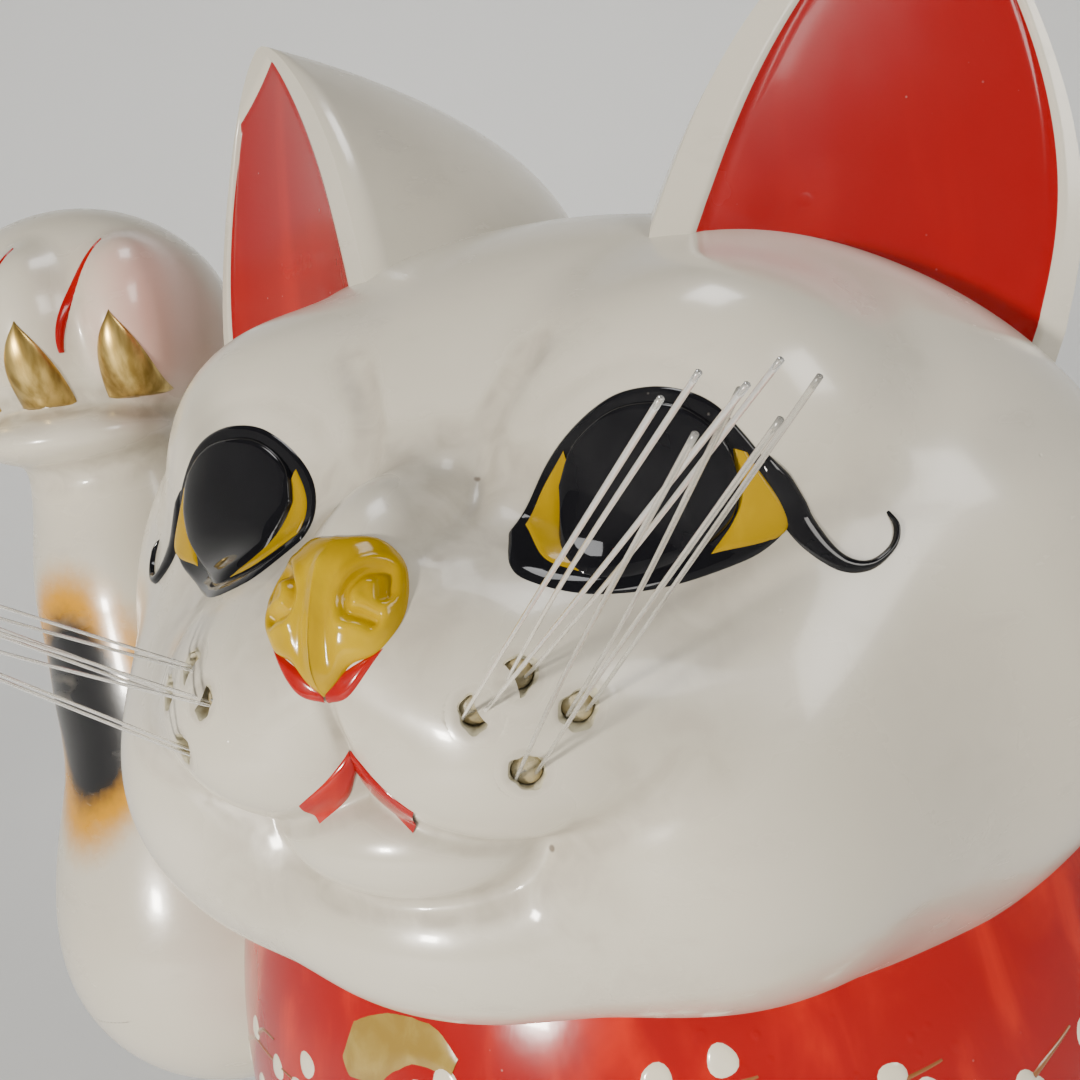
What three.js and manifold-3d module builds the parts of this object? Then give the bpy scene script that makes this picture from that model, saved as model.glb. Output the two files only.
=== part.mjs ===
// A large seated beckoning cat in glazed slip-cast ceramic, about half a metre tall.
// Millimetres, +Z up, the cat faces -Y, and the origin is on the ground under its middle.
// The cat's left is +X. Its right foreleg, on -X, is the raised one.

import * as THREE from 'three';
import { mergeVertices } from 'three/addons/utils/BufferGeometryUtils.js';
import Module from 'manifold-3d';

const wasm = await Module();
wasm.setup();

// ---------------------------------------------------------------- driving dimensions

const GAP = 0.3; // clearance left in every luted joint
const WALL = 7; // thickness of the cast walls

const HEAD_WIDTH = 246;
const HEAD_HEIGHT = 184;
const HEAD_Z = 353.5; // height of the skull's widest place
const HEAD_FORWARD = 35; // of that place in front of the neck's axis
const FACE_DEPTH = 81; // from there forward to the plain face
const OCCIPUT_DEPTH = 140; // and back to the back of the head
const NECK_HOLE = 80; // bore between the hollow head and the hollow body

const MUZZLE_REACH = 28; // how far the whisker pads stand out of the plain face
const PAD_SPACING = 37; // between the middles of the two whisker pads
const EYE_SPACING = 90; // between the middles of the two eye sockets
const EYE_RISE = 50; // of the eye sockets above the head's middle

const EAR_HEIGHT = 77; // along the ear's front, from its foot to its tip
const EAR_FOOT = 81; // width of the ear's front where it meets the head
const EAR_THICKNESS = 97; // front to back at the foot
const EAR_LEAN = 14; // how far the tip lies inward of the foot's middle
const EAR_SPREAD = 67.5; // from the mid-plane to the middle of the foot

const BODY_WIDTH = 290; // at the hips, without the thighs
const FOOT_WIDTH = 272; // where the body meets the ground
const NECK_WIDTH = 234; // under the head
const BODY_FLATTEN = 0.9; // depth over width
const NAPE_FLATTEN = 0.74; // the same behind the neck
const HIP_Z = 66;
const HAUNCH_BULGE = 27; // how far the folded thighs swell the sides

const BASE_THICKNESS = 9;
const STOPPER_HOLE = 34;
const STOPPER_SET_BACK = 62; // of the stopper behind the middle of the base
const STOPPER_RIM = 5; // how far the stopper's flange is wider than its hole
const STOPPER_FLANGE = 3;
const STOPPER_LENGTH = 20;

const SLOT_WIDTH = 42; // coin slot in the upper back
const SLOT_HEIGHT = 6;
const SLOT_Z = 218;

const COLLAR_THICKNESS = 7;
const COLLAR_TOP_Z = 305;
const COLLAR_FRONT_DROP = 93; // from the top edge to the lower edge in front
const COLLAR_BACK_DROP = 36; // and behind

const ARM_OUT = 158; // from the mid-plane to the raised foreleg
const ARM_FOOT_Z = 196; // lowest point of the raised foreleg
const ELBOW_RADIUS = 59;
const WRIST_RADIUS = 28;
const FIST_Z = 436;
const FIST_WIDTH = 94;
const FIST_TURN = 20; // degrees that the raised paw turns inward
const TOE_COUNT = 3;

const FORELEG_OUT = 64; // from the mid-plane to the standing foreleg
const FORELEG_RADIUS = 33;
const PAW_LENGTH = 78;
const PAW_HEIGHT = 38;
const HIND_PAW_OUT = 134;
const TAIL_RADIUS = 22;

const HOLE_RADIUS = 2.4; // drilled for the whiskers
const HOLE_DEPTH = 5;
const FILAMENT_RADIUS = 0.4;
const WHISKER_LENGTH = 84;
const WHISKER_GATHER = 0.7; // how far the strands of one cheek lean together towards their tips
const WHISKER_FAN = 1; // how far the two strands of a filament part, over their spacing in the hole
const GLUE_DEPTH = 2.6;

// ---------------------------------------------------------------- finishes

const finish = (color, roughness, metalness = 0) =>
  new THREE.MeshStandardMaterial({ color, roughness, metalness });
const glaze = finish(0xe9e4d8, 0.18);
const redEnamel = finish(0xb3160f, 0.2);
const bisque = finish(0xcdb9a0, 0.85);
const nylon = finish(0xf2f0ea, 0.15);
const glue = finish(0xd9c98c, 0.25);
const blackRubber = finish(0x1b1b1c, 0.8);

// ---------------------------------------------------------------- solids and meshes

function solidOf(geometry) {
  geometry.deleteAttribute('normal');
  geometry.deleteAttribute('uv');
  const merged = mergeVertices(geometry, 1e-4);
  const corners = merged.index.array;
  const kept = [];
  for (let i = 0; i < corners.length; i += 3) {
    const [a, b, c] = corners.slice(i, i + 3);
    if (a !== b && b !== c && c !== a) kept.push(a, b, c);
  }
  return new wasm.Manifold(new wasm.Mesh({
    numProp: 3,
    vertProperties: new Float32Array(merged.attributes.position.array),
    triVerts: new Uint32Array(kept),
  }));
}

// A displaced sphere can come out inside out: then its triangles are turned round.
function facingOut(geometry) {
  const solid = solidOf(geometry);
  if (solid.volume() > 0) return solid;
  const index = geometry.index.array;
  for (let i = 0; i < index.length; i += 3) [index[i], index[i + 1]] = [index[i + 1], index[i]];
  return solidOf(geometry);
}

function geometryOf(solid) {
  const mesh = solid.getMesh();
  const geometry = new THREE.BufferGeometry();
  geometry.setAttribute('position', new THREE.BufferAttribute(mesh.vertProperties, 3));
  geometry.setIndex(new THREE.BufferAttribute(mesh.triVerts, 1));
  geometry.computeVertexNormals();
  return geometry;
}

function piece(name, solid, material, parent) {
  const mesh = new THREE.Mesh(geometryOf(solid), material);
  mesh.name = name;
  parent.add(mesh);
  return mesh;
}

// ---------------------------------------------------------------- shaping helpers

// Roughly the distance from p to an ellipsoid with the given middle and half sizes.
function ellipsoid(p, middle, half) {
  const q = p.clone().sub(middle).divide(half);
  return (q.length() * (q.length() - 1)) / Math.max(q.clone().divide(half).length(), 1e-9);
}

function blend(a, b, softness) {
  const overlap = Math.max(softness - Math.abs(a - b), 0);
  return Math.min(a, b) - (overlap * overlap) / (4 * softness);
}

// Distance from the origin to where a field turns positive along a direction.
function reach(field, direction, far) {
  let inside = 0;
  let outside = far;
  for (let step = 0; step < 26; step++) {
    const middle = (inside + outside) / 2;
    if (field(direction.clone().multiplyScalar(middle)) < 0) inside = middle;
    else outside = middle;
  }
  return inside;
}

// A sphere pushed out to a radius of its own in each direction, with its poles on +-Y.
function blob(radiusAt, columns, rows) {
  const geometry = new THREE.SphereGeometry(1, columns, rows);
  const position = geometry.attributes.position;
  const point = new THREE.Vector3();
  for (let i = 0; i < position.count; i++) {
    point.fromBufferAttribute(position, i).normalize();
    point.multiplyScalar(radiusAt(point.clone()));
    position.setXYZ(i, point.x, point.y, point.z);
  }
  return solidOf(geometry);
}

const egg = (half, columns, rows) =>
  blob((d) => 1 / d.clone().divide(half).length(), columns, rows);

// A sphere drawn out along a spine, with a radius that depends on the share of its length.
function limb(points, radiusAt, columns, rows) {
  const spine = new THREE.CatmullRomCurve3(points);
  const geometry = new THREE.SphereGeometry(1, columns, rows);
  const frames = spine.computeFrenetFrames(rows);
  const position = geometry.attributes.position;
  const point = new THREE.Vector3();
  for (let i = 0; i < position.count; i++) {
    point.fromBufferAttribute(position, i);
    const polar = Math.acos(THREE.MathUtils.clamp(point.y, -1, 1));
    const row = Math.round((polar / Math.PI) * rows);
    const share = (1 - Math.cos(polar)) / 2;
    const around = Math.atan2(point.z, point.x);
    const radius = radiusAt(share) * Math.sqrt(Math.abs(Math.sin(polar)));
    const centre = spine.getPointAt(share);
    centre.addScaledVector(frames.normals[row], radius * Math.cos(around));
    centre.addScaledVector(frames.binormals[row], radius * Math.sin(around));
    position.setXYZ(i, centre.x, centre.y, centre.z);
  }
  return facingOut(geometry);
}

const V = (x, y, z) => new THREE.Vector3(x, y, z);
const smooth = (low, high, value) => THREE.MathUtils.smoothstep(value, low, high);

// ---------------------------------------------------------------- head

// Half sizes of the skull, which is deeper behind its widest place than in front of it.
const skullHalf = (y, grow) =>
  V(HEAD_WIDTH / 2, y < 0 ? FACE_DEPTH : OCCIPUT_DEPTH, HEAD_HEIGHT / 2).addScalar(grow);

function headField(p) {
  const mirrored = V(Math.abs(p.x), p.y, p.z);
  const muzzle = V(PAD_SPACING / 2, 28 - FACE_DEPTH - MUZZLE_REACH, 9);
  const chin = V(0, 26 - FACE_DEPTH - MUZZLE_REACH, -9);
  const bridge = V(0, -FACE_DEPTH, 25);
  const eye = V(EYE_SPACING / 2, 39 - FACE_DEPTH, EYE_RISE);
  let d = ellipsoid(p, V(0, 0, 0), skullHalf(p.y, 0));
  d = blend(d, ellipsoid(p, V(0, 37 - FACE_DEPTH, -30), V(62, 57, 29)), 16);
  d = blend(d, ellipsoid(mirrored, V(48, 36 - FACE_DEPTH, -11), V(37, 51, 41)), 20);
  d = blend(d, ellipsoid(mirrored, muzzle, V(29, 28, p.z > muzzle.z ? 25 : 20)), 8);
  d = blend(d, ellipsoid(p, chin, V(28, 22, 14)), 4);
  d = blend(d, ellipsoid(p, bridge, V(13, 23, 24)), 12);
  return blend(d, ellipsoid(mirrored, eye, V(28, 24, 26)), 6);
}

const headReach = (direction) => reach(headField, direction, HEAD_WIDTH);

function headShell(grow, columns = 40, rows = 28) {
  return blob((direction) => headReach(direction) + grow, columns, rows);
}

// The point of the face at a given place across and up, found along -Y.
function onFace(x, z) {
  const depth = reach((p) => headField(V(x, p.y, z)), V(0, -1, 0), FACE_DEPTH * 2);
  return V(x, -depth, z);
}

const whiskerPlaces = [
  { across: 25, up: 18 },
  { across: 30.4, up: 22 },
  { across: 38.4, up: 16.5 },
  { across: 31.8, up: 9 },
];

const drillAxis = (side) => V(side * 0.46, -0.88, 0.1).normalize();

function whiskerHole(side, place) {
  const mouth = onFace(side * place.across, place.up);
  const axis = drillAxis(side);
  return { axis, floor: mouth.clone().addScaledVector(axis, -HOLE_DEPTH) };
}

function alongAxis(solid, from, axis) {
  const turn = new THREE.Quaternion().setFromUnitVectors(V(0, 0, 1), axis);
  const matrix = new THREE.Matrix4().compose(from, turn, V(1, 1, 1));
  return solid.transform(matrix.elements);
}

function rod(radius, length, sides) {
  const geometry = new THREE.CylinderGeometry(radius, radius, length, sides);
  geometry.rotateX(Math.PI / 2).translate(0, 0, length / 2);
  return solidOf(geometry);
}

function headCasting() {
  const inner = blob((d) => 1 / d.clone().divide(skullHalf(d.y, -WALL)).length(), 20, 14);
  const neck = rod(NECK_HOLE / 2, HEAD_HEIGHT / 2, 20);
  let solid = headShell(0).subtract(inner)
    .subtract(neck.translate([0, HEAD_FORWARD, -HEAD_HEIGHT * 0.6]));
  for (const side of [-1, 1]) {
    for (const place of whiskerPlaces) {
      const { floor, axis } = whiskerHole(side, place);
      solid = solid.subtract(alongAxis(rod(HOLE_RADIUS, HOLE_DEPTH * 3, 10), floor, axis));
    }
  }
  return solid;
}

// ---------------------------------------------------------------- ears

// Unit vectors of the ear's front: across it outwards, up to the tip, and back through the ear.
const earAcross = V(0.818, 0.36, -0.449).normalize();
const earBack = V(-0.484, 0.852, -0.2).normalize();
const earUp = V(0.311, 0.38, 0.871).normalize();
const earFoot = () => {
  const direction = V(EAR_SPREAD, -6.5, 71).normalize();
  return direction.clone().multiplyScalar(headReach(direction));
};

function ear(side) {
  const foot = earFoot();
  const rows = 12;
  const geometry = new THREE.SphereGeometry(1, 22, rows);
  const position = geometry.attributes.position;
  const buried = 0.45; // share of the ear's height that starts inside the head
  const point = new THREE.Vector3();
  for (let i = 0; i < position.count; i++) {
    point.fromBufferAttribute(position, i);
    const share = (1 + buried) * (0.5 + point.y / 2) - buried;
    const narrowed = Math.max(share, 0);
    const swell = Math.sin(Math.PI * narrowed);
    const closed = 1 - Math.sqrt(1 - narrowed ** 0.9);
    const left = THREE.MathUtils.lerp(-EAR_FOOT / 2 - 5 * swell, -EAR_LEAN, closed);
    const right = THREE.MathUtils.lerp(EAR_FOOT / 2 + 9 * swell, -EAR_LEAN, closed);
    const around = Math.atan2(point.z, point.x);
    const u = Math.cos(around);
    const width = (right - left) / 2 + 2;
    const depth = EAR_THICKNESS * (1 - narrowed ** 4) ** 0.55 + 5;
    const dish = 5 * (1 - narrowed);
    const back = Math.sin(around) > 0
      ? depth * Math.sin(around) ** 0.8
      : dish * (1 - u * u);
    const closing = Math.min(1, (1 - Math.abs(point.y)) * 12);
    const place = foot.clone()
      .addScaledVector(earAcross, (left + right) / 2 + width * u * closing)
      .addScaledVector(earUp, share * EAR_HEIGHT)
      .addScaledVector(earBack, back * closing);
    position.setXYZ(i, side * place.x, place.y, place.z);
  }
  return facingOut(geometry).subtract(headShell(GAP));
}

// ---------------------------------------------------------------- body

const bodyProfile = new THREE.SplineCurve([
  new THREE.Vector2(FOOT_WIDTH / 2, 0),
  new THREE.Vector2(FOOT_WIDTH / 2 + 6, 10),
  new THREE.Vector2(BODY_WIDTH / 2, HIP_Z),
  new THREE.Vector2(BODY_WIDTH / 2 - 6, HIP_Z + 48),
  new THREE.Vector2((BODY_WIDTH * 0.4 + NECK_WIDTH * 0.6) / 2, 200),
  new THREE.Vector2(NECK_WIDTH / 2 + 2, HEAD_Z - HEAD_HEIGHT / 2 + 4),
  new THREE.Vector2(NECK_WIDTH / 2 - 14, HEAD_Z - HEAD_HEIGHT / 2 + 54),
]);

// The haunches swell the sides of the body low down, a little in front of the middle.
function haunch(angle, z) {
  const off = Math.abs(angle) - THREE.MathUtils.degToRad(66);
  return HAUNCH_BULGE * Math.exp(-((off / 0.55) ** 2) - ((z - HIP_Z - 6) / 52) ** 2);
}

function bodyRadius(angle, z, grow) {
  const heights = bodyProfile.getPoints(48);
  let radius = heights[heights.length - 1].x;
  for (let i = 1; i < heights.length; i++) {
    const [low, high] = [heights[i - 1], heights[i]];
    if (z > high.y) continue;
    radius = THREE.MathUtils.mapLinear(z, low.y, high.y, low.x, high.x);
    break;
  }
  return radius + haunch(angle, z) + grow;
}

// The place of a point of the body's surface, or of one outside it by grow.
function bodyPoint(angle, z, grow) {
  const radius = bodyRadius(angle, z, grow);
  const nape = THREE.MathUtils.lerp(BODY_FLATTEN, NAPE_FLATTEN, smooth(170, 300, z));
  const flatten = Math.cos(angle) > 0 ? BODY_FLATTEN : nape;
  return V(radius * Math.sin(angle), -radius * Math.cos(angle) * flatten, z);
}

// The body between two heights, closed by flat faces, grown outwards or inwards.
function bodyCore(grow, bottom, top, columns, rows) {
  const outline = [new THREE.Vector2(0, bottom)];
  for (let i = 0; i <= rows; i++) {
    outline.push(new THREE.Vector2(1, bottom + ((top - bottom) * i) / rows));
  }
  outline.push(new THREE.Vector2(0, top));
  const geometry = new THREE.LatheGeometry(outline, columns);
  geometry.rotateX(Math.PI / 2);
  const position = geometry.attributes.position;
  for (let i = 0; i < position.count; i++) {
    const x = position.getX(i);
    const y = position.getY(i);
    const z = position.getZ(i);
    if (Math.hypot(x, y) < 0.5) continue;
    const place = bodyPoint(Math.atan2(x, -y), z, grow);
    position.setXYZ(i, place.x, place.y, place.z);
  }
  return facingOut(geometry);
}

const bodyTop = HEAD_Z - HEAD_HEIGHT * 0.22;
const bodySolid = (grow) => bodyCore(grow, -grow, bodyTop, 40, 14);
const headInPlace = (grow) => headShell(grow).translate([0, -HEAD_FORWARD, HEAD_Z]);
const chamberTop = HEAD_Z - HEAD_HEIGHT / 2 - 2 * WALL;
const chamber = (shrink) => bodyCore(-WALL - shrink, -WALL, chamberTop, 28, 10);

function bodyCasting() {
  const neck = rod(NECK_HOLE / 2, HEAD_Z, 20).translate([0, 0, chamberTop - WALL]);
  const slot = solidOf(new THREE.BoxGeometry(SLOT_WIDTH, BODY_WIDTH / 2, SLOT_HEIGHT));
  return bodySolid(0)
    .subtract(headInPlace(GAP))
    .subtract(chamber(0))
    .subtract(neck)
    .subtract(slot.translate([0, BODY_WIDTH / 2, SLOT_Z]));
}

function basePlate() {
  const seat = STOPPER_HOLE / 2 + STOPPER_RIM;
  const hole = rod(STOPPER_HOLE / 2, BASE_THICKNESS * 3, 32)
    .translate([0, STOPPER_SET_BACK, -BASE_THICKNESS]);
  const recess = rod(seat, BASE_THICKNESS, 32)
    .translate([0, STOPPER_SET_BACK, STOPPER_FLANGE + 1 - BASE_THICKNESS]);
  return chamber(GAP)
    .trimByPlane([0, 0, 1], 0)
    .trimByPlane([0, 0, -1], -BASE_THICKNESS)
    .subtract(hole)
    .subtract(recess);
}

// A rubber bung: a flange under the base, a grooved neck in the hole and a tapered plug above it.
function baseStopper() {
  const bore = STOPPER_HOLE / 2 - GAP;
  const flange = bore + STOPPER_RIM - GAP;
  const under = 1;
  const points = [
    [0, under],
    [flange, under],
    [flange, under + STOPPER_FLANGE - GAP],
    [bore, under + STOPPER_FLANGE - GAP],
    [bore, STOPPER_LENGTH * 0.7],
    [bore - 3, STOPPER_LENGTH],
    [0, STOPPER_LENGTH],
  ];
  const outline = points.map(([r, z]) => new THREE.Vector2(r, z));
  return facingOut(new THREE.LatheGeometry(outline, 32).rotateX(Math.PI / 2));
}

// ---------------------------------------------------------------- collar

// A convex band round the neck that hangs lower in front. The angle is 0 in front.
function collar(grow) {
  const geometry = new THREE.TorusGeometry(1, 0.25, 10, 40);
  const position = geometry.attributes.position;
  for (let i = 0; i < position.count; i++) {
    const x = position.getX(i);
    const y = position.getY(i);
    const angle = Math.atan2(x, -y);
    const round = Math.atan2(position.getZ(i), Math.hypot(x, y) - 1);
    const front = (1 + Math.cos(angle)) / 2;
    const drop = THREE.MathUtils.lerp(COLLAR_BACK_DROP, COLLAR_FRONT_DROP, front ** 1.5);
    const high = COLLAR_TOP_Z + grow;
    const low = COLLAR_TOP_Z - drop - grow;
    const z = (high + low) / 2 + ((high - low) / 2) * Math.sin(round);
    const thick = COLLAR_THICKNESS + grow;
    const out = Math.cos(round) > 0 ? thick * Math.cos(round) ** 0.6 : 0;
    const place = bodyPoint(angle, z, Math.cos(round) > 0 ? out : -WALL / 2);
    position.setXYZ(i, place.x, place.y, place.z);
  }
  return facingOut(geometry);
}

const collarBand = () => collar(0).subtract(headInPlace(GAP)).subtract(bodySolid(GAP));

// ---------------------------------------------------------------- limbs

// Three rounded toes side by side, standing out along -Y from the front of a paw.
function toes(width, half, columns, rows) {
  const pitch = width / TOE_COUNT;
  const made = [];
  for (let i = 0; i < TOE_COUNT; i++) {
    const across = (i - (TOE_COUNT - 1) / 2) * pitch;
    const back = (Math.abs(i - (TOE_COUNT - 1) / 2) * half.y) / 4;
    made.push(egg(half, columns, rows).translate([across, back, 0]));
  }
  return made.reduce((all, toe) => all.add(toe));
}

function raisedForeleg() {
  const wristZ = FIST_Z - FIST_WIDTH * 0.6;
  const spine = [
    V(-ARM_OUT + 6, -10, ARM_FOOT_Z),
    V(-ARM_OUT, -12, ARM_FOOT_Z + ELBOW_RADIUS),
    V(-ARM_OUT - 8, -6, wristZ - 36),
    V(-ARM_OUT - 14, -3, wristZ),
    V(-ARM_OUT - 17, -3, FIST_Z),
  ];
  const radiusAt = (t) => (1 + 0.08 * smooth(0, 0.3, t))
    * THREE.MathUtils.lerp(ELBOW_RADIUS, WRIST_RADIUS, smooth(0.28, 0.8, t));
  const fistMiddle = V(-ARM_OUT - 16, -6, FIST_Z);
  const fist = egg(V(FIST_WIDTH / 2, 41, 40), 20, 14);
  const pad = egg(V(30, 24, 15), 14, 8).translate([0, -23, -30]);
  const fingers = toes(FIST_WIDTH * 0.8, V(FIST_WIDTH / 5.8, 22, 26), 12, 8).translate([0, -24, 4]);
  const turned = fist.add(pad).add(fingers).rotate([0, 0, FIST_TURN]).translate(fistMiddle.toArray());
  // The shoulder reaches in to the body, so the leg stays joined however far out it stands.
  const shoulder = egg(V(ARM_OUT / 2, 20, 48), 12, 8)
    .translate([-ARM_OUT / 2, -12, ARM_FOOT_Z + ELBOW_RADIUS + 6]);
  return limb(spine, radiusAt, 18, 18).add(turned).add(shoulder)
    .subtract(bodySolid(GAP))
    .subtract(headInPlace(GAP))
    .subtract(collar(GAP));
}

function standingForeleg() {
  const front = -BODY_WIDTH * 0.4;
  const spine = [
    V(FORELEG_OUT + 18, front + 44, 206),
    V(FORELEG_OUT + 12, front + 16, 144),
    V(FORELEG_OUT + 2, front - 4, 70),
    V(FORELEG_OUT - 4, front - 8, 12),
  ];
  const radiusAt = (t) => FORELEG_RADIUS * THREE.MathUtils.lerp(1.4, 0.86, smooth(0.15, 0.8, t));
  const paw = restingPaw().translate([FORELEG_OUT - 6, front - 16, 0]);
  return limb(spine, radiusAt, 16, 14).add(paw)
    .trimByPlane([0, 0, 1], 0)
    .subtract(bodySolid(GAP))
    .subtract(collar(GAP));
}

// A paw that stands on the ground, with its middle over the origin.
function restingPaw() {
  const half = V(PAW_LENGTH * 0.42, PAW_LENGTH / 2, PAW_HEIGHT * 0.62);
  const body = egg(half, 16, 10).translate([0, 0, PAW_HEIGHT * 0.4]);
  const fingers = toes(half.x * 2, V(half.x / 2.6, PAW_LENGTH * 0.24, PAW_HEIGHT / 2), 10, 6)
    .translate([0, -PAW_LENGTH * 0.34, PAW_HEIGHT * 0.44]);
  return body.add(fingers);
}

function hindPaw(side) {
  return restingPaw()
    .rotate([0, 0, side * 8])
    .translate([side * HIND_PAW_OUT, -BODY_WIDTH * 0.37, 0])
    .trimByPlane([0, 0, 1], 0)
    .subtract(bodySolid(GAP));
}

function tail() {
  const back = (BODY_WIDTH / 2) * BODY_FLATTEN;
  const spine = [
    V(6, back - 8, 36),
    V(52, back + 10, 34),
    V(104, back - 6, 31),
    V(140, back - 46, 30),
  ];
  const radiusAt = (t) => TAIL_RADIUS * (1.1 - 0.35 * t);
  return limb(spine, radiusAt, 12, 16).subtract(bodySolid(GAP));
}

// ---------------------------------------------------------------- whiskers

// One nylon filament folded in two: both strands leave the hole, and its bend sits in the glue.
function whisker(side, place) {
  const { floor, axis } = whiskerHole(side, place);
  const lift = V(side * 0.545, -0.585, 0.56).normalize();
  const middle = (key) => whiskerPlaces.reduce((sum, other) => sum + other[key], 0) / whiskerPlaces.length;
  const gather = V(side * (middle('across') - place.across), 0, middle('up') - place.up)
    .multiplyScalar(WHISKER_GATHER);
  const spread = V(0, 0, 1).cross(lift).normalize().multiplyScalar(HOLE_RADIUS - FILAMENT_RADIUS - GAP);
  const bend = floor.clone().addScaledVector(axis, GLUE_DEPTH + GAP + FILAMENT_RADIUS);
  const lip = floor.clone().addScaledVector(axis, HOLE_DEPTH);
  const strand = (way) => {
    const start = lip.clone().addScaledVector(spread, way);
    const end = start.clone().addScaledVector(lift, WHISKER_LENGTH);
    return [start, end.addScaledVector(spread, way * WHISKER_FAN).add(gather)];
  };
  const [outStart, outEnd] = strand(1);
  const [backStart, backEnd] = strand(-1);
  const half = spread.clone().multiplyScalar(0.7);
  const route = new THREE.CurvePath();
  const before = bend.clone().add(half);
  const after = bend.clone().sub(half);
  route.add(new THREE.LineCurve3(outEnd, outStart));
  route.add(new THREE.QuadraticBezierCurve3(outStart, before, bend));
  route.add(new THREE.QuadraticBezierCurve3(bend, after, backStart));
  route.add(new THREE.LineCurve3(backStart, backEnd));
  const section = new THREE.Shape().absarc(0, 0, FILAMENT_RADIUS, 0, 2 * Math.PI);
  const geometry = new THREE.ExtrudeGeometry(section, { steps: 16, curveSegments: 2, extrudePath: route });
  return facingOut(geometry);
}

function glueBead(side, place) {
  const { floor, axis } = whiskerHole(side, place);
  const bead = rod(HOLE_RADIUS - GAP, GLUE_DEPTH, 10);
  return alongAxis(bead, floor.clone().addScaledVector(axis, GAP), axis);
}

// ---------------------------------------------------------------- assembly

const cat = new THREE.Group();
const head = new THREE.Group();
head.position.set(0, -HEAD_FORWARD, HEAD_Z);
cat.add(head);

piece('body_casting', bodyCasting(), glaze, cat);
piece('base_plate', basePlate(), bisque, cat);
piece('base_stopper', baseStopper(), blackRubber, cat).position.y = STOPPER_SET_BACK;
piece('head_casting', headCasting(), glaze, head);
piece('collar_band', collarBand(), redEnamel, cat);
piece('raised_foreleg', raisedForeleg(), glaze, cat);
piece('standing_foreleg', standingForeleg(), glaze, cat);
piece('tail', tail(), glaze, cat);

for (const [label, side] of [['left', 1], ['right', -1]]) {
  piece(`${label}_ear`, ear(side), glaze, head);
  piece(`${label}_hind_paw`, hindPaw(side), glaze, cat);
  whiskerPlaces.forEach((place, index) => {
    piece(`whisker_${label}_${index + 1}`, whisker(side, place), nylon, head);
    piece(`glue_${label}_${index + 1}`, glueBead(side, place), glue, head);
  });
}

export default cat;
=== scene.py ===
# %% [markdown]
# # A beckoning cat in glazed ceramic
# The real cat is slip cast: a hollow body and a hollow head, with the ears, forelegs, paws and
# tail luted on. It is glazed in warm white and then painted with thick overglaze enamels.
# The CAD frame holds every piece at its real size; here each casting gets its fine skin.

# %% The fixed frame
import math

import bpy
import numpy as np
from mathutils import Matrix, Vector


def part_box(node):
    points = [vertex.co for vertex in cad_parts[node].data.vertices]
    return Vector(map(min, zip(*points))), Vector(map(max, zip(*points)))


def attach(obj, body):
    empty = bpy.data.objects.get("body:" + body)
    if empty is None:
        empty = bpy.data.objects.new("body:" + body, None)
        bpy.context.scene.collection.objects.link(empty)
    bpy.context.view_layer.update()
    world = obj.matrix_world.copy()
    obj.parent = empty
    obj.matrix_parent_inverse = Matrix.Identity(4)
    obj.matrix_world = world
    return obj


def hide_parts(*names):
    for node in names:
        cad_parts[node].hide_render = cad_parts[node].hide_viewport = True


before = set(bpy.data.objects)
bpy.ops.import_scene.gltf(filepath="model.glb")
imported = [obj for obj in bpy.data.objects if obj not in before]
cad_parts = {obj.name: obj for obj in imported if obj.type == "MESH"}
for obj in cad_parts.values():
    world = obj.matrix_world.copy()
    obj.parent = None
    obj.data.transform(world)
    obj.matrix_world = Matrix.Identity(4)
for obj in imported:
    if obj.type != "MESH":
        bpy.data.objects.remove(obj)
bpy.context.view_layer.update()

MM = 0.001
rng = np.random.default_rng(7)


def span(node):
    """The lowest and the highest corner of a CAD node, in millimetres."""
    low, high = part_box(node)
    return np.array(low) / MM, np.array(high) / MM


def vec(x, y, z):
    return np.array([x, y, z], float)


head_low, head_high = span("head_casting")
SKULL_WIDE = head_high[0]
HEAD = vec(0, head_high[1] - 140, head_high[2] - 92)
print("head's middle, mm:", HEAD.round(1))

# %% [markdown]
# ## Soft forms
# Clay pressed in a mould has no hard edges: each swelling runs into the next one. Ellipsoids
# blended smoothly give that, and keep a size and a place in millimetres for every swelling.

# %% Ellipsoids and blends
def ellipsoid(p, middle, half):
    q = (p - middle) / half
    length = np.linalg.norm(q, axis=-1)
    return length * (length - 1) / np.maximum(np.linalg.norm(q / half, axis=-1), 1e-9)


def capsule(p, start, end, start_radius, end_radius):
    along = end - start
    share = np.clip(((p - start) @ along) / (along @ along), 0, 1)
    centre = start + share[..., None] * along
    share = share * share * (3 - 2 * share)
    return np.linalg.norm(p - centre, axis=-1) - (start_radius + (end_radius - start_radius) * share)


def join(a, b, softness):
    overlap = np.maximum(softness - np.abs(a - b), 0)
    return np.minimum(a, b) - overlap**2 / (4 * softness)


def step(value, low, high):
    share = np.clip((value - low) / (high - low), 0, 1)
    return share * share * (3 - 2 * share)


def reach(field, origins, directions, far):
    """How far each direction runs before it leaves the inside of the field."""
    inside, outside = np.zeros(len(directions)), np.full(len(directions), float(far))
    for _ in range(20):
        middle = (inside + outside) / 2
        within = field(origins + directions * middle[:, None]) < 0
        inside, outside = np.where(within, middle, inside), np.where(within, outside, middle)
    return inside


def outward(field, p):
    """The unit normals of a field's surface."""
    slopes = [field(p + axis) - field(p - axis) for axis in np.eye(3) * 0.4]
    normal = np.stack(slopes, -1)
    return normal / np.linalg.norm(normal, axis=-1, keepdims=True)


def closed_in(field, points):
    """How much of the way out a neighbouring swelling closes: 0 on open skin, 1 in a fold."""
    closed = 0
    for out in (4.0, 9.0):
        away = points + outward(field, points) * out
        closed = closed + np.clip(1 - field(away) / out, 0, 1) / 2
    return closed


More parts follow.
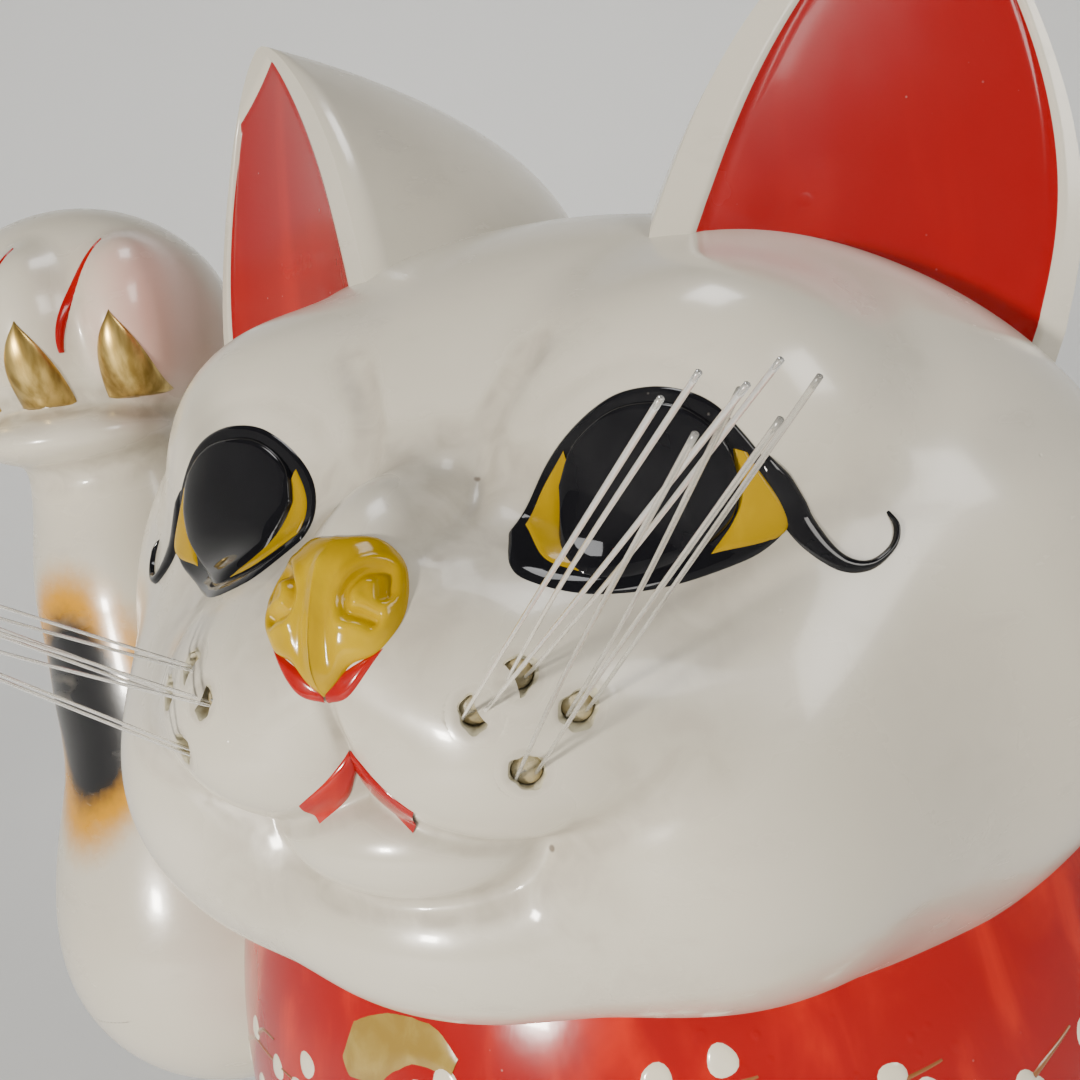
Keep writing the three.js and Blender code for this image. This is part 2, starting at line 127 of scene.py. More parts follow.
ball = reach(lambda p: ellipsoid(p, vec(0, 0, 0), vec(10, 10, 10)), np.zeros((1, 3)), np.eye(3)[:1], 30)
print("a ball of 10 mm reaches, mm:", ball.round(2))

# %% [markdown]
# ## Skins
# Every piece is one or more grids of points. A grid that is closed across is a tube, and its
# first and last rows can be closed to a point.
# Sculpting would give such skins too, but a grid worked out from sizes stays tied to the frame.

# %% Grids of points
def skin(name, grids, materials, body="root", stands_for=()):
    """One object from (points, closed across, material number) grids, smooth and at rest on its body."""
    points, faces, slots = [], [], []
    for grid, closed, number in grids:
        rows, columns = grid.shape[:2]
        first = sum(len(p) for p in points)
        index = first + np.arange(rows * columns).reshape(rows, columns)
        after = np.roll(index, -1, 1)
        quads = np.stack([index[:-1], after[:-1], after[1:], index[1:]], -1)
        quads = (quads if closed else quads[:, :-1]).reshape(-1, 4)
        points.append(grid.reshape(-1, 3))
        faces.append(quads)
        slots.append(np.full(len(quads), number))
    points, faces, slots = np.concatenate(points) * MM, np.concatenate(faces), np.concatenate(slots)
    mesh = bpy.data.meshes.new(name)
    mesh.vertices.add(len(points))
    mesh.vertices.foreach_set("co", points.ravel())
    mesh.loops.add(faces.size)
    mesh.loops.foreach_set("vertex_index", faces.ravel())
    mesh.polygons.add(len(faces))
    mesh.polygons.foreach_set("loop_start", np.arange(0, faces.size, 4))
    for material in materials:
        mesh.materials.append(material)
    mesh.polygons.foreach_set("material_index", slots)
    mesh.polygons.foreach_set("use_smooth", np.ones(len(faces), bool))
    mesh.update(calc_edges=True)
    mesh.validate()
    made = bpy.data.objects.new(name, mesh)
    bpy.context.scene.collection.objects.link(made)
    if body:
        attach(made, body)
    if stands_for:
        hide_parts(*stands_for)
    return made


def set_shade(made, values):
    """Stores how much grime and painted shade each point of an object holds, as its crease attribute."""
    store = made.data.attributes.new("crease", "FLOAT", "POINT").data
    store.foreach_set("value", np.asarray(values, np.float32))


def points_of(made):
    """The points of an object's mesh, in millimetres."""
    return np.array([vertex.co for vertex in made.data.vertices]) / MM


def close_ends(grid):
    """The same tube with its first and last rows drawn together to their middles."""
    ends = [grid[row].mean(0)[None, None].repeat(grid.shape[1], 1) for row in (0, -1)]
    return np.concatenate([ends[0], grid, ends[1]])


def facing(grid):
    """Turns a grid's rows so that its faces look away from its middle."""
    middle = grid.reshape(-1, 3).mean(0)
    a, b = np.diff(grid, axis=0)[:, :-1], np.diff(grid, axis=1)[:-1]
    volume = (np.cross(b, a) * (grid[:-1, :-1] - middle)).sum()
    return grid if volume > 0 else grid[::-1]


def curve(points, count):
    """A smooth line through points, as count points evenly spaced along it."""
    points = np.array(points, float)
    ends = np.concatenate([[2 * points[0] - points[1]], points, [2 * points[-1] - points[-2]]])
    share = np.linspace(0, 1, 24, endpoint=False)[:, None]
    parts = []
    for a, b, c, d in zip(ends, ends[1:], ends[2:], ends[3:]):
        parts.append(0.5 * (2 * b + (c - a) * share + (2 * a - 5 * b + 4 * c - d) * share**2
                            + (3 * b - 3 * c + d - a) * share**3))
    line = np.concatenate(parts + [points[-1:]])
    length = np.concatenate([[0], np.cumsum(np.linalg.norm(np.diff(line, axis=0), axis=1))])
    wanted = np.linspace(0, length[-1], count)
    return np.stack([np.interp(wanted, length, line[:, i]) for i in range(line.shape[1])], -1)


def tube(line, radii, sides):
    """A round tube along a line of points."""
    along = np.gradient(line, axis=0)
    along /= np.linalg.norm(along, axis=1, keepdims=True)
    side = np.cross(along, vec(0.31, 0.2, 0.93))
    side /= np.linalg.norm(side, axis=1, keepdims=True)
    turn = np.linspace(0, 2 * math.pi, sides, endpoint=False)[None, :, None]
    ring = side[:, None] * np.cos(turn) + np.cross(along, side)[:, None] * np.sin(turn)
    return facing(line[:, None] + ring * np.broadcast_to(radii, len(line))[:, None, None])


print("five points of a line of 10 mm:", curve([(0, 0), (10, 0)], 5)[:, 0].round(2))


# %% [markdown]
# ## Shader sockets
# A material here is a sum of small effects. Wires that add and multiply like numbers let each
# effect be written as the formula that it is.
# Placing each node and link by name would do the same, and would hide the formula.

# %% The wire class
class Wire:
    """An output of a shader node, which adds, subtracts, multiplies and divides like a number."""

    def __init__(self, tree, out):
        self.tree, self.out = tree, out

    def make(self, kind, settings, inputs, output=0):
        node = self.tree.nodes.new("ShaderNode" + kind)
        for key, value in settings.items():
            setattr(node, key, value)
        for key, value in inputs.items():
            if isinstance(value, Wire):
                self.tree.links.new(value.out, node.inputs[key])
            else:
                node.inputs[key].default_value = value
        return Wire(self.tree, node.outputs[output])

    def math(self, operation, *values):
        return self.make("Math", {"operation": operation}, dict(enumerate(values)))

    def __add__(self, other):
        return self.math("ADD", self, other)

    def __sub__(self, other):
        return self.math("SUBTRACT", self, other)

    def __rsub__(self, other):
        return self.math("SUBTRACT", other, self)

    def __mul__(self, other):
        return self.math("MULTIPLY", self, other)

    def __truediv__(self, other):
        return self.math("DIVIDE", self, other)

    def __rtruediv__(self, other):
        return self.math("DIVIDE", other, self)

    def __pow__(self, other):
        return self.math("POWER", self, other)

    __radd__, __rmul__ = __add__, __mul__

    def ramp(self, low, high):
        """0 below low and 1 above high, with a soft rise between them."""
        inputs = {"Value": self, "From Min": low, "From Max": high}
        return self.make("MapRange", {"interpolation_type": "SMOOTHSTEP"}, inputs)

    def mix(self, first, second):
        """The colour first where this is 0, and second where it is 1."""
        return self.make("Mix", {"data_type": "RGBA"}, {0: self, 6: first, 7: second}, 2)

    def noise(self, scale, detail=3.0, distortion=0.0):
        inputs = {"Vector": self, "Scale": scale, "Detail": detail, "Distortion": distortion}
        return self.make("TexNoise", {}, inputs)

    def cells(self, scale, feature="F1"):
        return self.make("TexVoronoi", {"feature": feature}, {"Vector": self, "Scale": scale})

    def vector(self, operation, *values, output=0):
        return self.make("VectorMath", {"operation": operation}, dict(enumerate(values)), output)

    def stretched(self, x, y, z):
        return self.vector("MULTIPLY", self, (x, y, z))

    def near(self, middle, half):
        """0 at middle (mm) and 1 on the ellipsoid of those half sizes (mm) round it."""
        moved = self.vector("SUBTRACT", self, tuple(c * MM for c in middle))
        scaled = self.vector("DIVIDE", moved, tuple(c * MM for c in half))
        return self.vector("LENGTH", scaled, output=1)

    def bump(self, strength, distance):
        return self.make("Bump", {}, {"Strength": strength, "Distance": distance * MM, "Height": self})


def finish(name, paint, **constants):
    """A material: constants go straight to the shader, and paint(place) returns what varies."""
    made = bpy.data.materials.new(name)
    made.use_nodes = True
    tree = made.node_tree
    shader = tree.nodes["Principled BSDF"]
    for key, value in constants.items():
        shader.inputs[key.replace("_", " ")].default_value = value
    place = Wire(tree, tree.nodes.new("ShaderNodeTexCoord").outputs["Object"])
    for key, wire in paint(place).items():
        tree.links.new(wire.out, shader.inputs[key])
    return made


print("wires make nodes from", len([name for name in dir(Wire) if not name.startswith("__")]), "methods")


# %% [markdown]
# ## Glaze
# The glaze is a warm white, satin from years of handling. It has an orange-peel surface, pin
# holes where gas escaped, fine iron specks, and grey grime and painted shade in the creases.
# Each of these is a mask from noise or cells at its own size. Masks were chosen over painted
# pictures because they stay sharp at any distance and need no unwrapping.

# %% Glaze
WHITE = (0.70, 0.655, 0.555, 1)
BLACK = (0.008, 0.008, 0.010, 1)
ORANGE = (0.64, 0.29, 0.0, 1)
BLUSH = (0.80, 0.36, 0.31, 1)


def glazed(place, colour=None):
    """The glaze's own colour with mottling, specks, pin holes, and grime and painted shade in the creases,
    over any patch of colour.
    """
    cloud = place.noise(9, 4).ramp(0.35, 0.7)
    colour = colour or (cloud * 0.7).mix(WHITE, (0.60, 0.555, 0.455, 1))
    speck = place.cells(75)
    chance = place.noise(31, 1).ramp(0.53, 0.59)
    dark = (1 - speck.ramp(0.04, 0.068)) * chance
    # Grime and painted shade: the crease attribute darkens the glaze towards grey-brown in folds and creases.
    crease = place.make("Attribute", {"attribute_name": "crease"}, {}, 2)
    film = place.noise(140, 5, 0.6).ramp(0.3, 0.75)
    grime_and_shade = crease.ramp(0.1, 0.8) * (film * 0.7 + 0.3)
    colour = (grime_and_shade * 0.6).mix(colour, (0.33, 0.285, 0.225, 1))
    dust = place.stretched(1, 1, 2.6).noise(52, 6).ramp(0.56, 0.8)
    colour = (dust * 0.26).mix(colour, (0.45, 0.41, 0.35, 1))
    colour = (dark * 0.85).mix(colour, (0.14, 0.10, 0.07, 1))
    pit = 1 - place.cells(110).ramp(0.02, 0.055)
    pit = pit * place.noise(23, 1).ramp(0.5, 0.6)
    peel = place.noise(190, 2) * 0.35 + place.noise(38, 2) * 1.3 - pit * 0.7
    rough = 0.2 + cloud * 0.07 + dust * 0.12 + grime_and_shade * 0.3
    return {"Base Color": colour, "Roughness": rough, "Normal": peel.bump(0.35, 0.35)}


def calico(place, spots):
    """Glaze with airbrushed patches: each is (middle, half size, black core share) in mm."""
    cloud = place.noise(9, 4).ramp(0.35, 0.7)
    colour = (cloud * 0.55).mix(WHITE, (0.60, 0.555, 0.455, 1))
    grain = place.noise(420, 2) * 0.07 + place.noise(30, 3) * 0.2 + 0.11
    for middle, half, core in spots:
        away = place.near(middle, half) + grain - 0.25
        colour = (1 - away.ramp(0.72, 1.06)).mix(colour, ORANGE)
        if core:
            colour = (1 - away.ramp(core - 0.1, core + 0.12)).mix(colour, BLACK)
    return colour


glaze = finish("glaze", glazed, Coat_Weight=0.35, Coat_Roughness=0.1, IOR=1.5)

ARM_PATCH = [((-168, -52, 326), (34, 40, 47), 0.62)]


def arm_paint(place):
    colour = calico(place, ARM_PATCH)
    soft = place.noise(60, 3) * 0.4
    blush = 1 - (place.near((-128, -18, 440), (26, 34, 44)) + soft - 0.2).ramp(0.25, 1.1)
    colour = (blush * 0.55).mix(colour, BLUSH)
    return glazed(place, colour)


def body_paint(place):
    left_side = ((118, 60, 190), (60, 60, 52), 0.6)
    right_hip = ((-120, 70, 96), (58, 52, 50), 0.6)
    over_tail = ((30, 128, 60), (46, 30, 36), 0)
    return glazed(place, calico(place, [left_side, right_hip, over_tail]))


def tail_paint(place):
    return glazed(place, calico(place, [((118, 112, 32), (34, 34, 40), 0.66)]))


arm_glaze = finish("foreleg_glaze", arm_paint, Coat_Weight=0.35, Coat_Roughness=0.1, IOR=1.5)
body_glaze = finish("body_glaze", body_paint, Coat_Weight=0.35, Coat_Roughness=0.1, IOR=1.5)
tail_glaze = finish("tail_glaze", tail_paint, Coat_Weight=0.35, Coat_Roughness=0.1, IOR=1.5)
print("glazes made")

# %% [markdown]
# ## Enamels and gold
# Overglaze enamel goes on thick with a brush: it keeps the brush's streaks, small bubbles and
# thin places where the colour is lighter. The gold is a metal powder paint with brush lines.
# Noise that is stretched along one axis gives the streaks, so one recipe serves every enamel.

# %% Enamels
def brushed(deep, light, streak, scale, gloss=0.13, texture=0.45):
    """Enamel with streaks drawn out along an axis, bubbles under its skin and dust on it."""
    def paint(place):
        lines = place.stretched(*streak).noise(scale, 4, 0.4)
        cover = lines.ramp(0.46, 0.78)
        colour = cover.mix(deep, light)
        thin = place.noise(26, 3).ramp(0.58, 0.75)
        colour = (thin * 0.35).mix(colour, light)
        dust = (1 - place.cells(260).ramp(0.03, 0.09)) * place.noise(40, 2).ramp(0.55, 0.65)
        colour = (dust * 0.3).mix(colour, (0.55, 0.5, 0.45, 1))
        bubble = 1 - place.cells(170, "SMOOTH_F1").ramp(0.05, 0.2)
        bubble = bubble * place.noise(18, 1).ramp(0.5, 0.62)
        skin_height = lines * 0.5 + bubble * 0.6 + place.noise(120, 2) * 0.25
        rough = gloss + dust * 0.3 + thin * gloss * 0.4 + place.noise(70, 3) * gloss * 0.6
        return {"Base Color": colour, "Roughness": rough, "Normal": skin_height.bump(texture, 0.4)}
    return paint


red = finish("red_enamel", brushed((0.36, 0.002, 0.002, 1), (0.62, 0.018, 0.003, 1), (1, 1, 0.35), 70),
             Coat_Weight=0.25, Coat_Roughness=0.05, Specular_IOR_Level=0.3)
ear_red = finish("ear_red_enamel",
                 brushed((0.33, 0.002, 0.003, 1), (0.45, 0.006, 0.004, 1), (1, 1, 0.25), 40, 0.16, 0.3),
                 Coat_Weight=0.25, Coat_Roughness=0.06, Specular_IOR_Level=0.25)
black = finish("black_enamel", brushed(BLACK, (0.014, 0.014, 0.016, 1), (1, 1, 1), 60, 0.035, 0.06),
               Coat_Weight=0.2, Coat_Roughness=0.02, Specular_IOR_Level=0.22)
yellow = finish("yellow_enamel", brushed((0.40, 0.245, 0.0, 1), (0.54, 0.35, 0.0, 1), (1, 1, 0.4), 110),
                Coat_Weight=0.25, Coat_Roughness=0.06, Specular_IOR_Level=0.15)
cream = finish("cream_enamel", brushed((0.80, 0.74, 0.58, 1), (0.86, 0.82, 0.70, 1), (1, 1, 1), 90),
               Coat_Weight=0.4, Coat_Roughness=0.1)
bough = finish("bough_enamel", brushed((0.27, 0.10, 0.03, 1), (0.46, 0.24, 0.07, 1), (1, 1, 1), 120),
               Coat_Weight=0.4, Coat_Roughness=0.1)
olive = finish("olive_enamel", brushed((0.30, 0.19, 0.03, 1), (0.42, 0.30, 0.07, 1), (1, 1, 1), 120),
               Coat_Weight=0.3, Coat_Roughness=0.15)


def gold_paint(place):
    lines = place.stretched(1, 1, 0.18).noise(300, 4)
    worn = place.noise(90, 4).ramp(0.58, 0.72)
    colour = lines.ramp(0.3, 0.7).mix((0.32, 0.21, 0.055, 1), (0.66, 0.48, 0.17, 1))
    colour = (worn * 0.6).mix(colour, (0.16, 0.10, 0.035, 1))
    return {"Base Color": colour, "Roughness": 0.3 + worn * 0.25, "Normal": lines.bump(0.5, 0.15)}


gold = finish("gold_paint", gold_paint, Metallic=0.9)
print("enamels made")

# %% [markdown]
# ## Small materials
# The whiskers are nylon, the glue has yellowed, the underside is bare clay and the stopper is
# rubber. They are small or hidden, so one recipe of two colours and a fine grain serves all.

# %% Nylon, glue, clay and rubber
def plain(first, second, scale, roughness, depth):
    def paint(place):
        cloud = place.noise(scale, 5)
        colour = cloud.ramp(0.35, 0.7).mix(first, second)
        grain = place.noise(scale * 7, 3)
        bumps = (cloud + grain).bump(0.4, depth)
        return {"Base Color": colour, "Roughness": roughness + cloud * 0.12, "Normal": bumps}
    return paint


nylon = finish("nylon", plain((0.80, 0.79, 0.74, 1), (0.90, 0.89, 0.86, 1), 160, 0.12, 0.03),
               Transmission_Weight=0.8, IOR=1.53)
glue = finish("glue", plain((0.50, 0.40, 0.20, 1), (0.62, 0.55, 0.36, 1), 300, 0.2, 0.2),
              Transmission_Weight=0.25, IOR=1.49)
bisque = finish("bisque", plain((0.66, 0.55, 0.42, 1), (0.76, 0.67, 0.55, 1), 60, 0.75, 0.3))
rubber = finish("rubber", plain((0.022, 0.022, 0.023, 1), (0.045, 0.044, 0.043, 1), 90, 0.6, 0.2))
print("small materials made")

# %% [markdown]
# ## Head
# The head is one casting: a wide skull with full cheeks, a low brow over deep eye sockets, a
# short nose bridge, two round whisker pads, a chin and a double chin. The mould keeps the
# creases between them crisp, and the glaze softens them.
# It could be sculpted by hand. A sum of swellings was chosen because every cheek and pad keeps a
# size and a place that can be changed alone.

# %% Head field
def mirrored(p):
    return np.stack([np.abs(p[..., 0]), p[..., 1], p[..., 2]], -1)


def head_field(p):
    both = mirrored(p)
    deep = np.where(p[..., 1] < 0, 81.0, 140.0)
    half = np.stack([np.full_like(deep, SKULL_WIDE), deep, np.full_like(deep, 92)], -1)
    d = ellipsoid(p, vec(0, 0, 0), half)
    d = join(d, ellipsoid(p, vec(0, -44, -30), vec(62, 57, 29)), 16)
    d = join(d, ellipsoid(both, vec(48, -45, -11), vec(37, 51, 41)), 20)
    d = join(d, ellipsoid(both, vec(45, -42, 50), vec(28, 24, 26)), 15)
    d = join(d, ellipsoid(p, vec(0, -81, 25), vec(13, 23, 24)), 12)
    d = join(d, ellipsoid(p, vec(0, -75, -31), vec(36, 24, 19)), 6)
    d = join(d, ellipsoid(p, vec(0, -83, -9), vec(28, 22.5, 14)), 2)
    soft_above = 1.5 + 16 * step(both[..., 2] + 0.25 * both[..., 0], 0, 22)
    high = np.where(p[..., 2] > 9, 25.0, 20.0)
    pad = np.stack([np.full_like(high, 29), np.full_like(high, 28), high], -1)
    return join(d, ellipsoid(both, vec(18.5, -81, 9), pad), soft_above)


def on_face(x, z):
    """The points of the face at a place across and up, found along -Y."""
    x, z = np.broadcast_arrays(np.asarray(x, float), np.asarray(z, float))
    flat = np.stack([x.ravel(), np.zeros(x.size), z.ravel()], -1)
    depth = reach(head_field, flat, np.broadcast_to(vec(0, -1, 0), flat.shape), 150)
    flat[:, 1] = -depth
    return flat.reshape(x.shape + (3,))


def draped(x, z, height):
    """Points standing out of the face by a height, in the frame's millimetres."""
    base = on_face(x, z)
    return base + outward(head_field, base) * np.asarray(height)[..., None] + HEAD


print("front of a whisker pad, mm from the head's middle:", on_face(18.5, 9).round(1))


# %% [markdown]
# ## Tooled creases
# The modeller runs a tool along the brow, over each eye and down the lip before the mould is
# taken. Each crease is a line with a depth and a width, pressed into the skin where it passes,
# because a line keeps its shape however fine the grid is.

# %% Creases that the modeller's tool left
def line_distance(p, points):
    """How far points of the face are from a line of points, and the share of the line reached there."""
    line = curve(points, 40)
    gaps = np.linalg.norm(p[:, None] - line[None], axis=2)
    return gaps.min(1), gaps.argmin(1) / 39


CREASES = [
    ([(14, 36), (11.5, 50), (16, 62), (25, 72)], 1.9, 2.6),
    ([(19, 50), (26, 58), (38, 62.5), (50, 60), (59, 53), (64, 45)], 0.3, 1.8),
    ([(0, 21), (-0.3, 14), (0, 8)], 0.9, 1.5),
]


def relief(p):
    """How much of the face's surface is taken away, in mm, at points near its front."""
    flat = mirrored(p)[:, [0, 2]]
    depth = np.zeros(len(p))
    for points, deep, width in CREASES:
        gap, share = line_distance(flat, points)
        fade = step(share, 0, 0.15) * step(1 - share, 0, 0.3)
        depth += deep * np.exp(-((gap / width) ** 2)) * fade
    return depth


print("creases", len(CREASES))


# %% [markdown]
# ## Where the whiskers go
# Four holes on each cheek are drilled at one angle with a bit of about 5 mm. Their places are
# given across and up, and the face tells how far forward each one lies.

# %% Whisker holes
places = [(25, 18), (30.4, 22), (38.4, 16.5), (31.8, 9)]
HOLE_RADIUS, HOLE_DEPTH, FILAMENT = 2.4, 5.0, 0.4


def drill(side):
    axis = vec(side * 0.46, -0.88, 0.1)
    return axis / np.linalg.norm(axis)


holes = [(side, on_face(side * x, z), drill(side)) for side in (1, -1) for x, z in places]
print("first hole, mm from the head's middle:", holes[0][1].round(1))


# %% [markdown]
# ## The head's skin
# Rays leave the middle of the head in all directions and stop at the surface, closer together
# at the face, where the detail is. The creases and the mouths of the holes are then pressed in.
# Grime and painted shade are worked out from the same shape: the glaze darkens wherever a swelling closes in.

# %% Head mesh
def head_skin(rows, columns):
    share = np.linspace(0.0012, 0.9985, rows)
    polar = math.pi * (0.52 * share + 0.48 * share**2.6)
    around = np.linspace(0, 2 * math.pi, columns, endpoint=False)
    polar, around = np.meshgrid(polar, around, indexing="ij")
    rays = np.stack([np.sin(polar) * np.cos(around), -np.cos(polar), np.sin(polar) * np.sin(around)], -1)
    flat = rays.reshape(-1, 3)
    points = flat * reach(head_field, np.zeros_like(flat), flat, 200)[:, None]
    front = (points[:, 1] < -30) & (points[:, 2] > -30)
    points[front] -= flat[front] * relief(points[front])[:, None]
    for _, mouth, axis in holes:
        offset = points - mouth
        across = np.linalg.norm(offset - (offset @ axis)[:, None] * axis, axis=1)
        near = (points[:, 1] < 0) & (across < 6)
        points[near] -= flat[near] * (8 * (1 - step(across[near], 3.0, 3.9)))[:, None]
    return points.reshape(rays.shape)


skin_points = head_skin(300, 320)
head_grid = close_ends(skin_points) + HEAD
head = skin("head", [(facing(head_grid), True, 0)], [glaze], stands_for=["head_casting"])
order = points_of(head) - HEAD
# Grime and painted shade in the folds, stored for the glaze, which darkens there.
fold_grime_and_shade = closed_in(head_field, order) * 3.6
front = (order[:, 1] < -30) & (order[:, 2] > -30)
# Painted shade: the deeper tooled creases are darkened a little more.
fold_grime_and_shade[front] += np.clip(relief(order[front]), 0, 2) * 0.15
set_shade(head, fold_grime_and_shade)
print("head faces", len(head.data.polygons))

# %% [markdown]
# ## Drilled holes
# The whisker holes are drilled through the fired glaze, which chips a little round each mouth,
# and grime and old glue have darkened the clay inside. The glaze round each mouth is darkened
# too, as grime with painted shade at the lip.
# A mouth is rings of points laid on the glaze and then down the bore: a boolean cut of so small a
# hole would leave a ragged edge.

# %% Hole rims
def hole_rim(mouth, axis):
    side = np.cross(axis, vec(0, 0, 1))
    side /= np.linalg.norm(side)
    up = np.cross(side, axis)
    turn = np.linspace(0, 2 * math.pi, 40, endpoint=False)
    rings = []
    chip = 0.22 * np.sin(3 * turn + mouth[0]) + 0.14 * np.sin(7 * turn + mouth[2])
    for radius, height in ((7.0, -0.1), (5.6, -0.02), (4.4, 0.03), (3.4, 0.03), (2.8, -0.1), (2.55, -0.45)):
        edge = radius + chip * step(4.4 - radius, 0, 1)
        flat = mouth + edge[:, None] * (np.cos(turn)[:, None] * side + np.sin(turn)[:, None] * up)
        base = on_face(flat[:, 0], flat[:, 2])
        rings.append(base + outward(head_field, base) * height)
    for depth in (1.0, 2.5, 4.0, HOLE_DEPTH):
        ring = mouth - axis * depth + 2.5 * (np.cos(turn)[:, None] * side + np.sin(turn)[:, None] * up)
        rings.append(ring)
    rings.append(np.repeat((mouth - axis * HOLE_DEPTH)[None], 40, 0))
    return np.array(rings) + HEAD


def bore_paint(place):
    cloud = place.noise(500, 4)
    colour = cloud.mix((0.40, 0.365, 0.24, 1), (0.62, 0.575, 0.43, 1))
    return {"Base Color": colour, "Roughness": 0.5 + cloud * 0.3}


bore_clay = finish("bore_clay", bore_paint)
grids = []
for side, mouth, axis in holes:
    rim = hole_rim(mouth, axis)
    grids += [(rim[:5], True, 0), (rim[4:], True, 1)]
rims = skin("drilled_holes", grids, [glaze, bore_clay])
place = points_of(rims) - HEAD
# Grime and painted shade round each mouth: the glaze darkens towards the lip of the hole.
stain_and_lip_shade = np.zeros(len(place))
for _, mouth, axis in holes:
    offset = place - mouth
    along = offset @ axis
    away = np.linalg.norm(offset - along[:, None] * axis, axis=1) + 9 * step(np.abs(along), 8, 9)
    stain_and_lip_shade = np.maximum(stain_and_lip_shade, 1 - step(away, 2.6, 4.8))
set_shade(rims, stain_and_lip_shade * 0.8)
print("holes", len(holes))

# %% [markdown]
# ## Enamel eyes
# Each eye is laid on in layers: a black almond with a long lash that ends in a curl, yellow
# crescents in its corners, and a thick domed black pupil that keeps a wet gloss.
# A layer is a pad between two drawn lines that is dropped on to the face, so it follows every
# swelling, and its edge is as thick as real enamel.

# %% Patches of enamel
def patch(side, upper, lower, rows, columns, thick, base=0.0, dome=0.0):
    """A pad of enamel between two lines across the face, rounded down to the skin at its edges."""
    top, bottom = curve(upper, columns), curve(lower, columns)
    share = (1 - np.cos(np.linspace(0, math.pi, rows)))[:, None] / 2
    x = top[None, :, 0] * (1 - share) + bottom[None, :, 0] * share
    z = top[None, :, 1] * (1 - share) + bottom[None, :, 1] * share
    gap = np.linalg.norm(top - bottom, axis=1)[None]
    along = np.linspace(0, 1, columns)[None]
    run = np.linalg.norm(top[0] - top[-1])
    edge = np.minimum(np.minimum(share, 1 - share) * gap, np.minimum(along, 1 - along) * run + 0.25 * gap)
    height = base - 0.25 + (thick + 0.25) * np.sqrt(np.clip(edge / 0.9, 0, 1))
    height = height + dome * np.sin(math.pi * share) * np.sin(math.pi * along)
    grid = draped(side * x, z, height)
    return grid if side > 0 else grid[:, ::-1]


def stroke(side, points, widths, thick, base=0.0, count=60):
    """A brush stroke along a line across the face, with its own width at each point."""
    line = curve(points, count)
    width = np.interp(np.linspace(0, 1, count), np.linspace(0, 1, len(widths)), widths) / 2
    along = np.gradient(line, axis=0)
    along /= np.linalg.norm(along, axis=1, keepdims=True)
    normal = np.stack([-along[:, 1], along[:, 0]], 1)
    over = np.linspace(-1, 1, 9)
    x = line[None, :, 0] + over[:, None] * width * normal[:, 0]
    z = line[None, :, 1] + over[:, None] * width * normal[:, 1]
    cap = np.sqrt(np.clip(np.minimum(np.linspace(0, 12, count), np.linspace(12, 0, count)), 0, 1))
    height = base - 0.25 + (thick + 0.25) * np.sqrt(1 - over[:, None] ** 2) * cap
    grid = draped(side * x, z, height)
    return grid[::-1] if side > 0 else grid


EYE_TOP = [(20.6, 38), (23.6, 46.6), (28.6, 52.7), (35.4, 57.2), (42, 58.4), (48, 57.4),
           (53, 54.6), (57.2, 49.5), (61, 43.3), (64.5, 36)]
EYE_LOW = [(20.6, 38), (24, 34.4), (28.4, 32.2), (37.6, 29.4), (47, 28.4), (56.2, 30), (61, 32.3), (64.5, 36)]
LASH = [(59.4, 46), (61.8, 41.4), (65, 34), (70, 28.4), (74.4, 26.9),
        (77.6, 28.8), (78.2, 31.6), (76.9, 34.2)]
LASH_WIDTHS = [1.6, 3.6, 4.4, 3.6, 2.4, 1.6, 1.0, 0.5]
PUPIL_TOP = [(27, 43), (29.5, 50), (35.5, 54.8), (42, 56), (48.5, 54.6), (54, 49.5), (56.2, 42)]
PUPIL_LOW = [(27, 43), (29, 36), (34.5, 31.9), (42, 30.3), (49.5, 31.8), (54.6, 36), (56.2, 42)]
INNER_CORNER = [(22.6, 38.3), (24, 43.5), (27.4, 49.3)], [(22.6, 38.3), (28.2, 34.2), (34, 32)]
OUTER_CORNER = [(51.5, 31.4), (55.5, 38), (55.2, 47.5)], [(51.5, 31.4), (62.8, 34.2), (57.5, 46.5)]
black_grids, yellow_grids = [], []
for side in (1, -1):
    black_grids.append(patch(side, EYE_TOP, EYE_LOW, 40, 90, 0.6))
    black_grids.append(stroke(side, LASH, LASH_WIDTHS, 0.8, 0.2))
    black_grids.append(patch(side, PUPIL_TOP, PUPIL_LOW, 40, 70, 1.3, 0.5, 1.6))
    yellow_grids.append(patch(side, *INNER_CORNER, 16, 40, 0.35, 0.6))
    yellow_grids.append(patch(side, *OUTER_CORNER, 16, 40, 0.35, 0.6))
skin("eyes_black", [(g, False, 0) for g in black_grids], [black])
skin("eyes_yellow", [(g, False, 0) for g in yellow_grids], [yellow])
print("eye enamels", len(black_grids) + len(yellow_grids))

# %% [markdown]
# ## Nose
# The nose is a thick yellow shield with a ridge down its middle and two comma-shaped nostrils
# cut in it while the enamel is soft.
# It is draped on the face like the eyes, with the ridge and the nostrils added to its height.

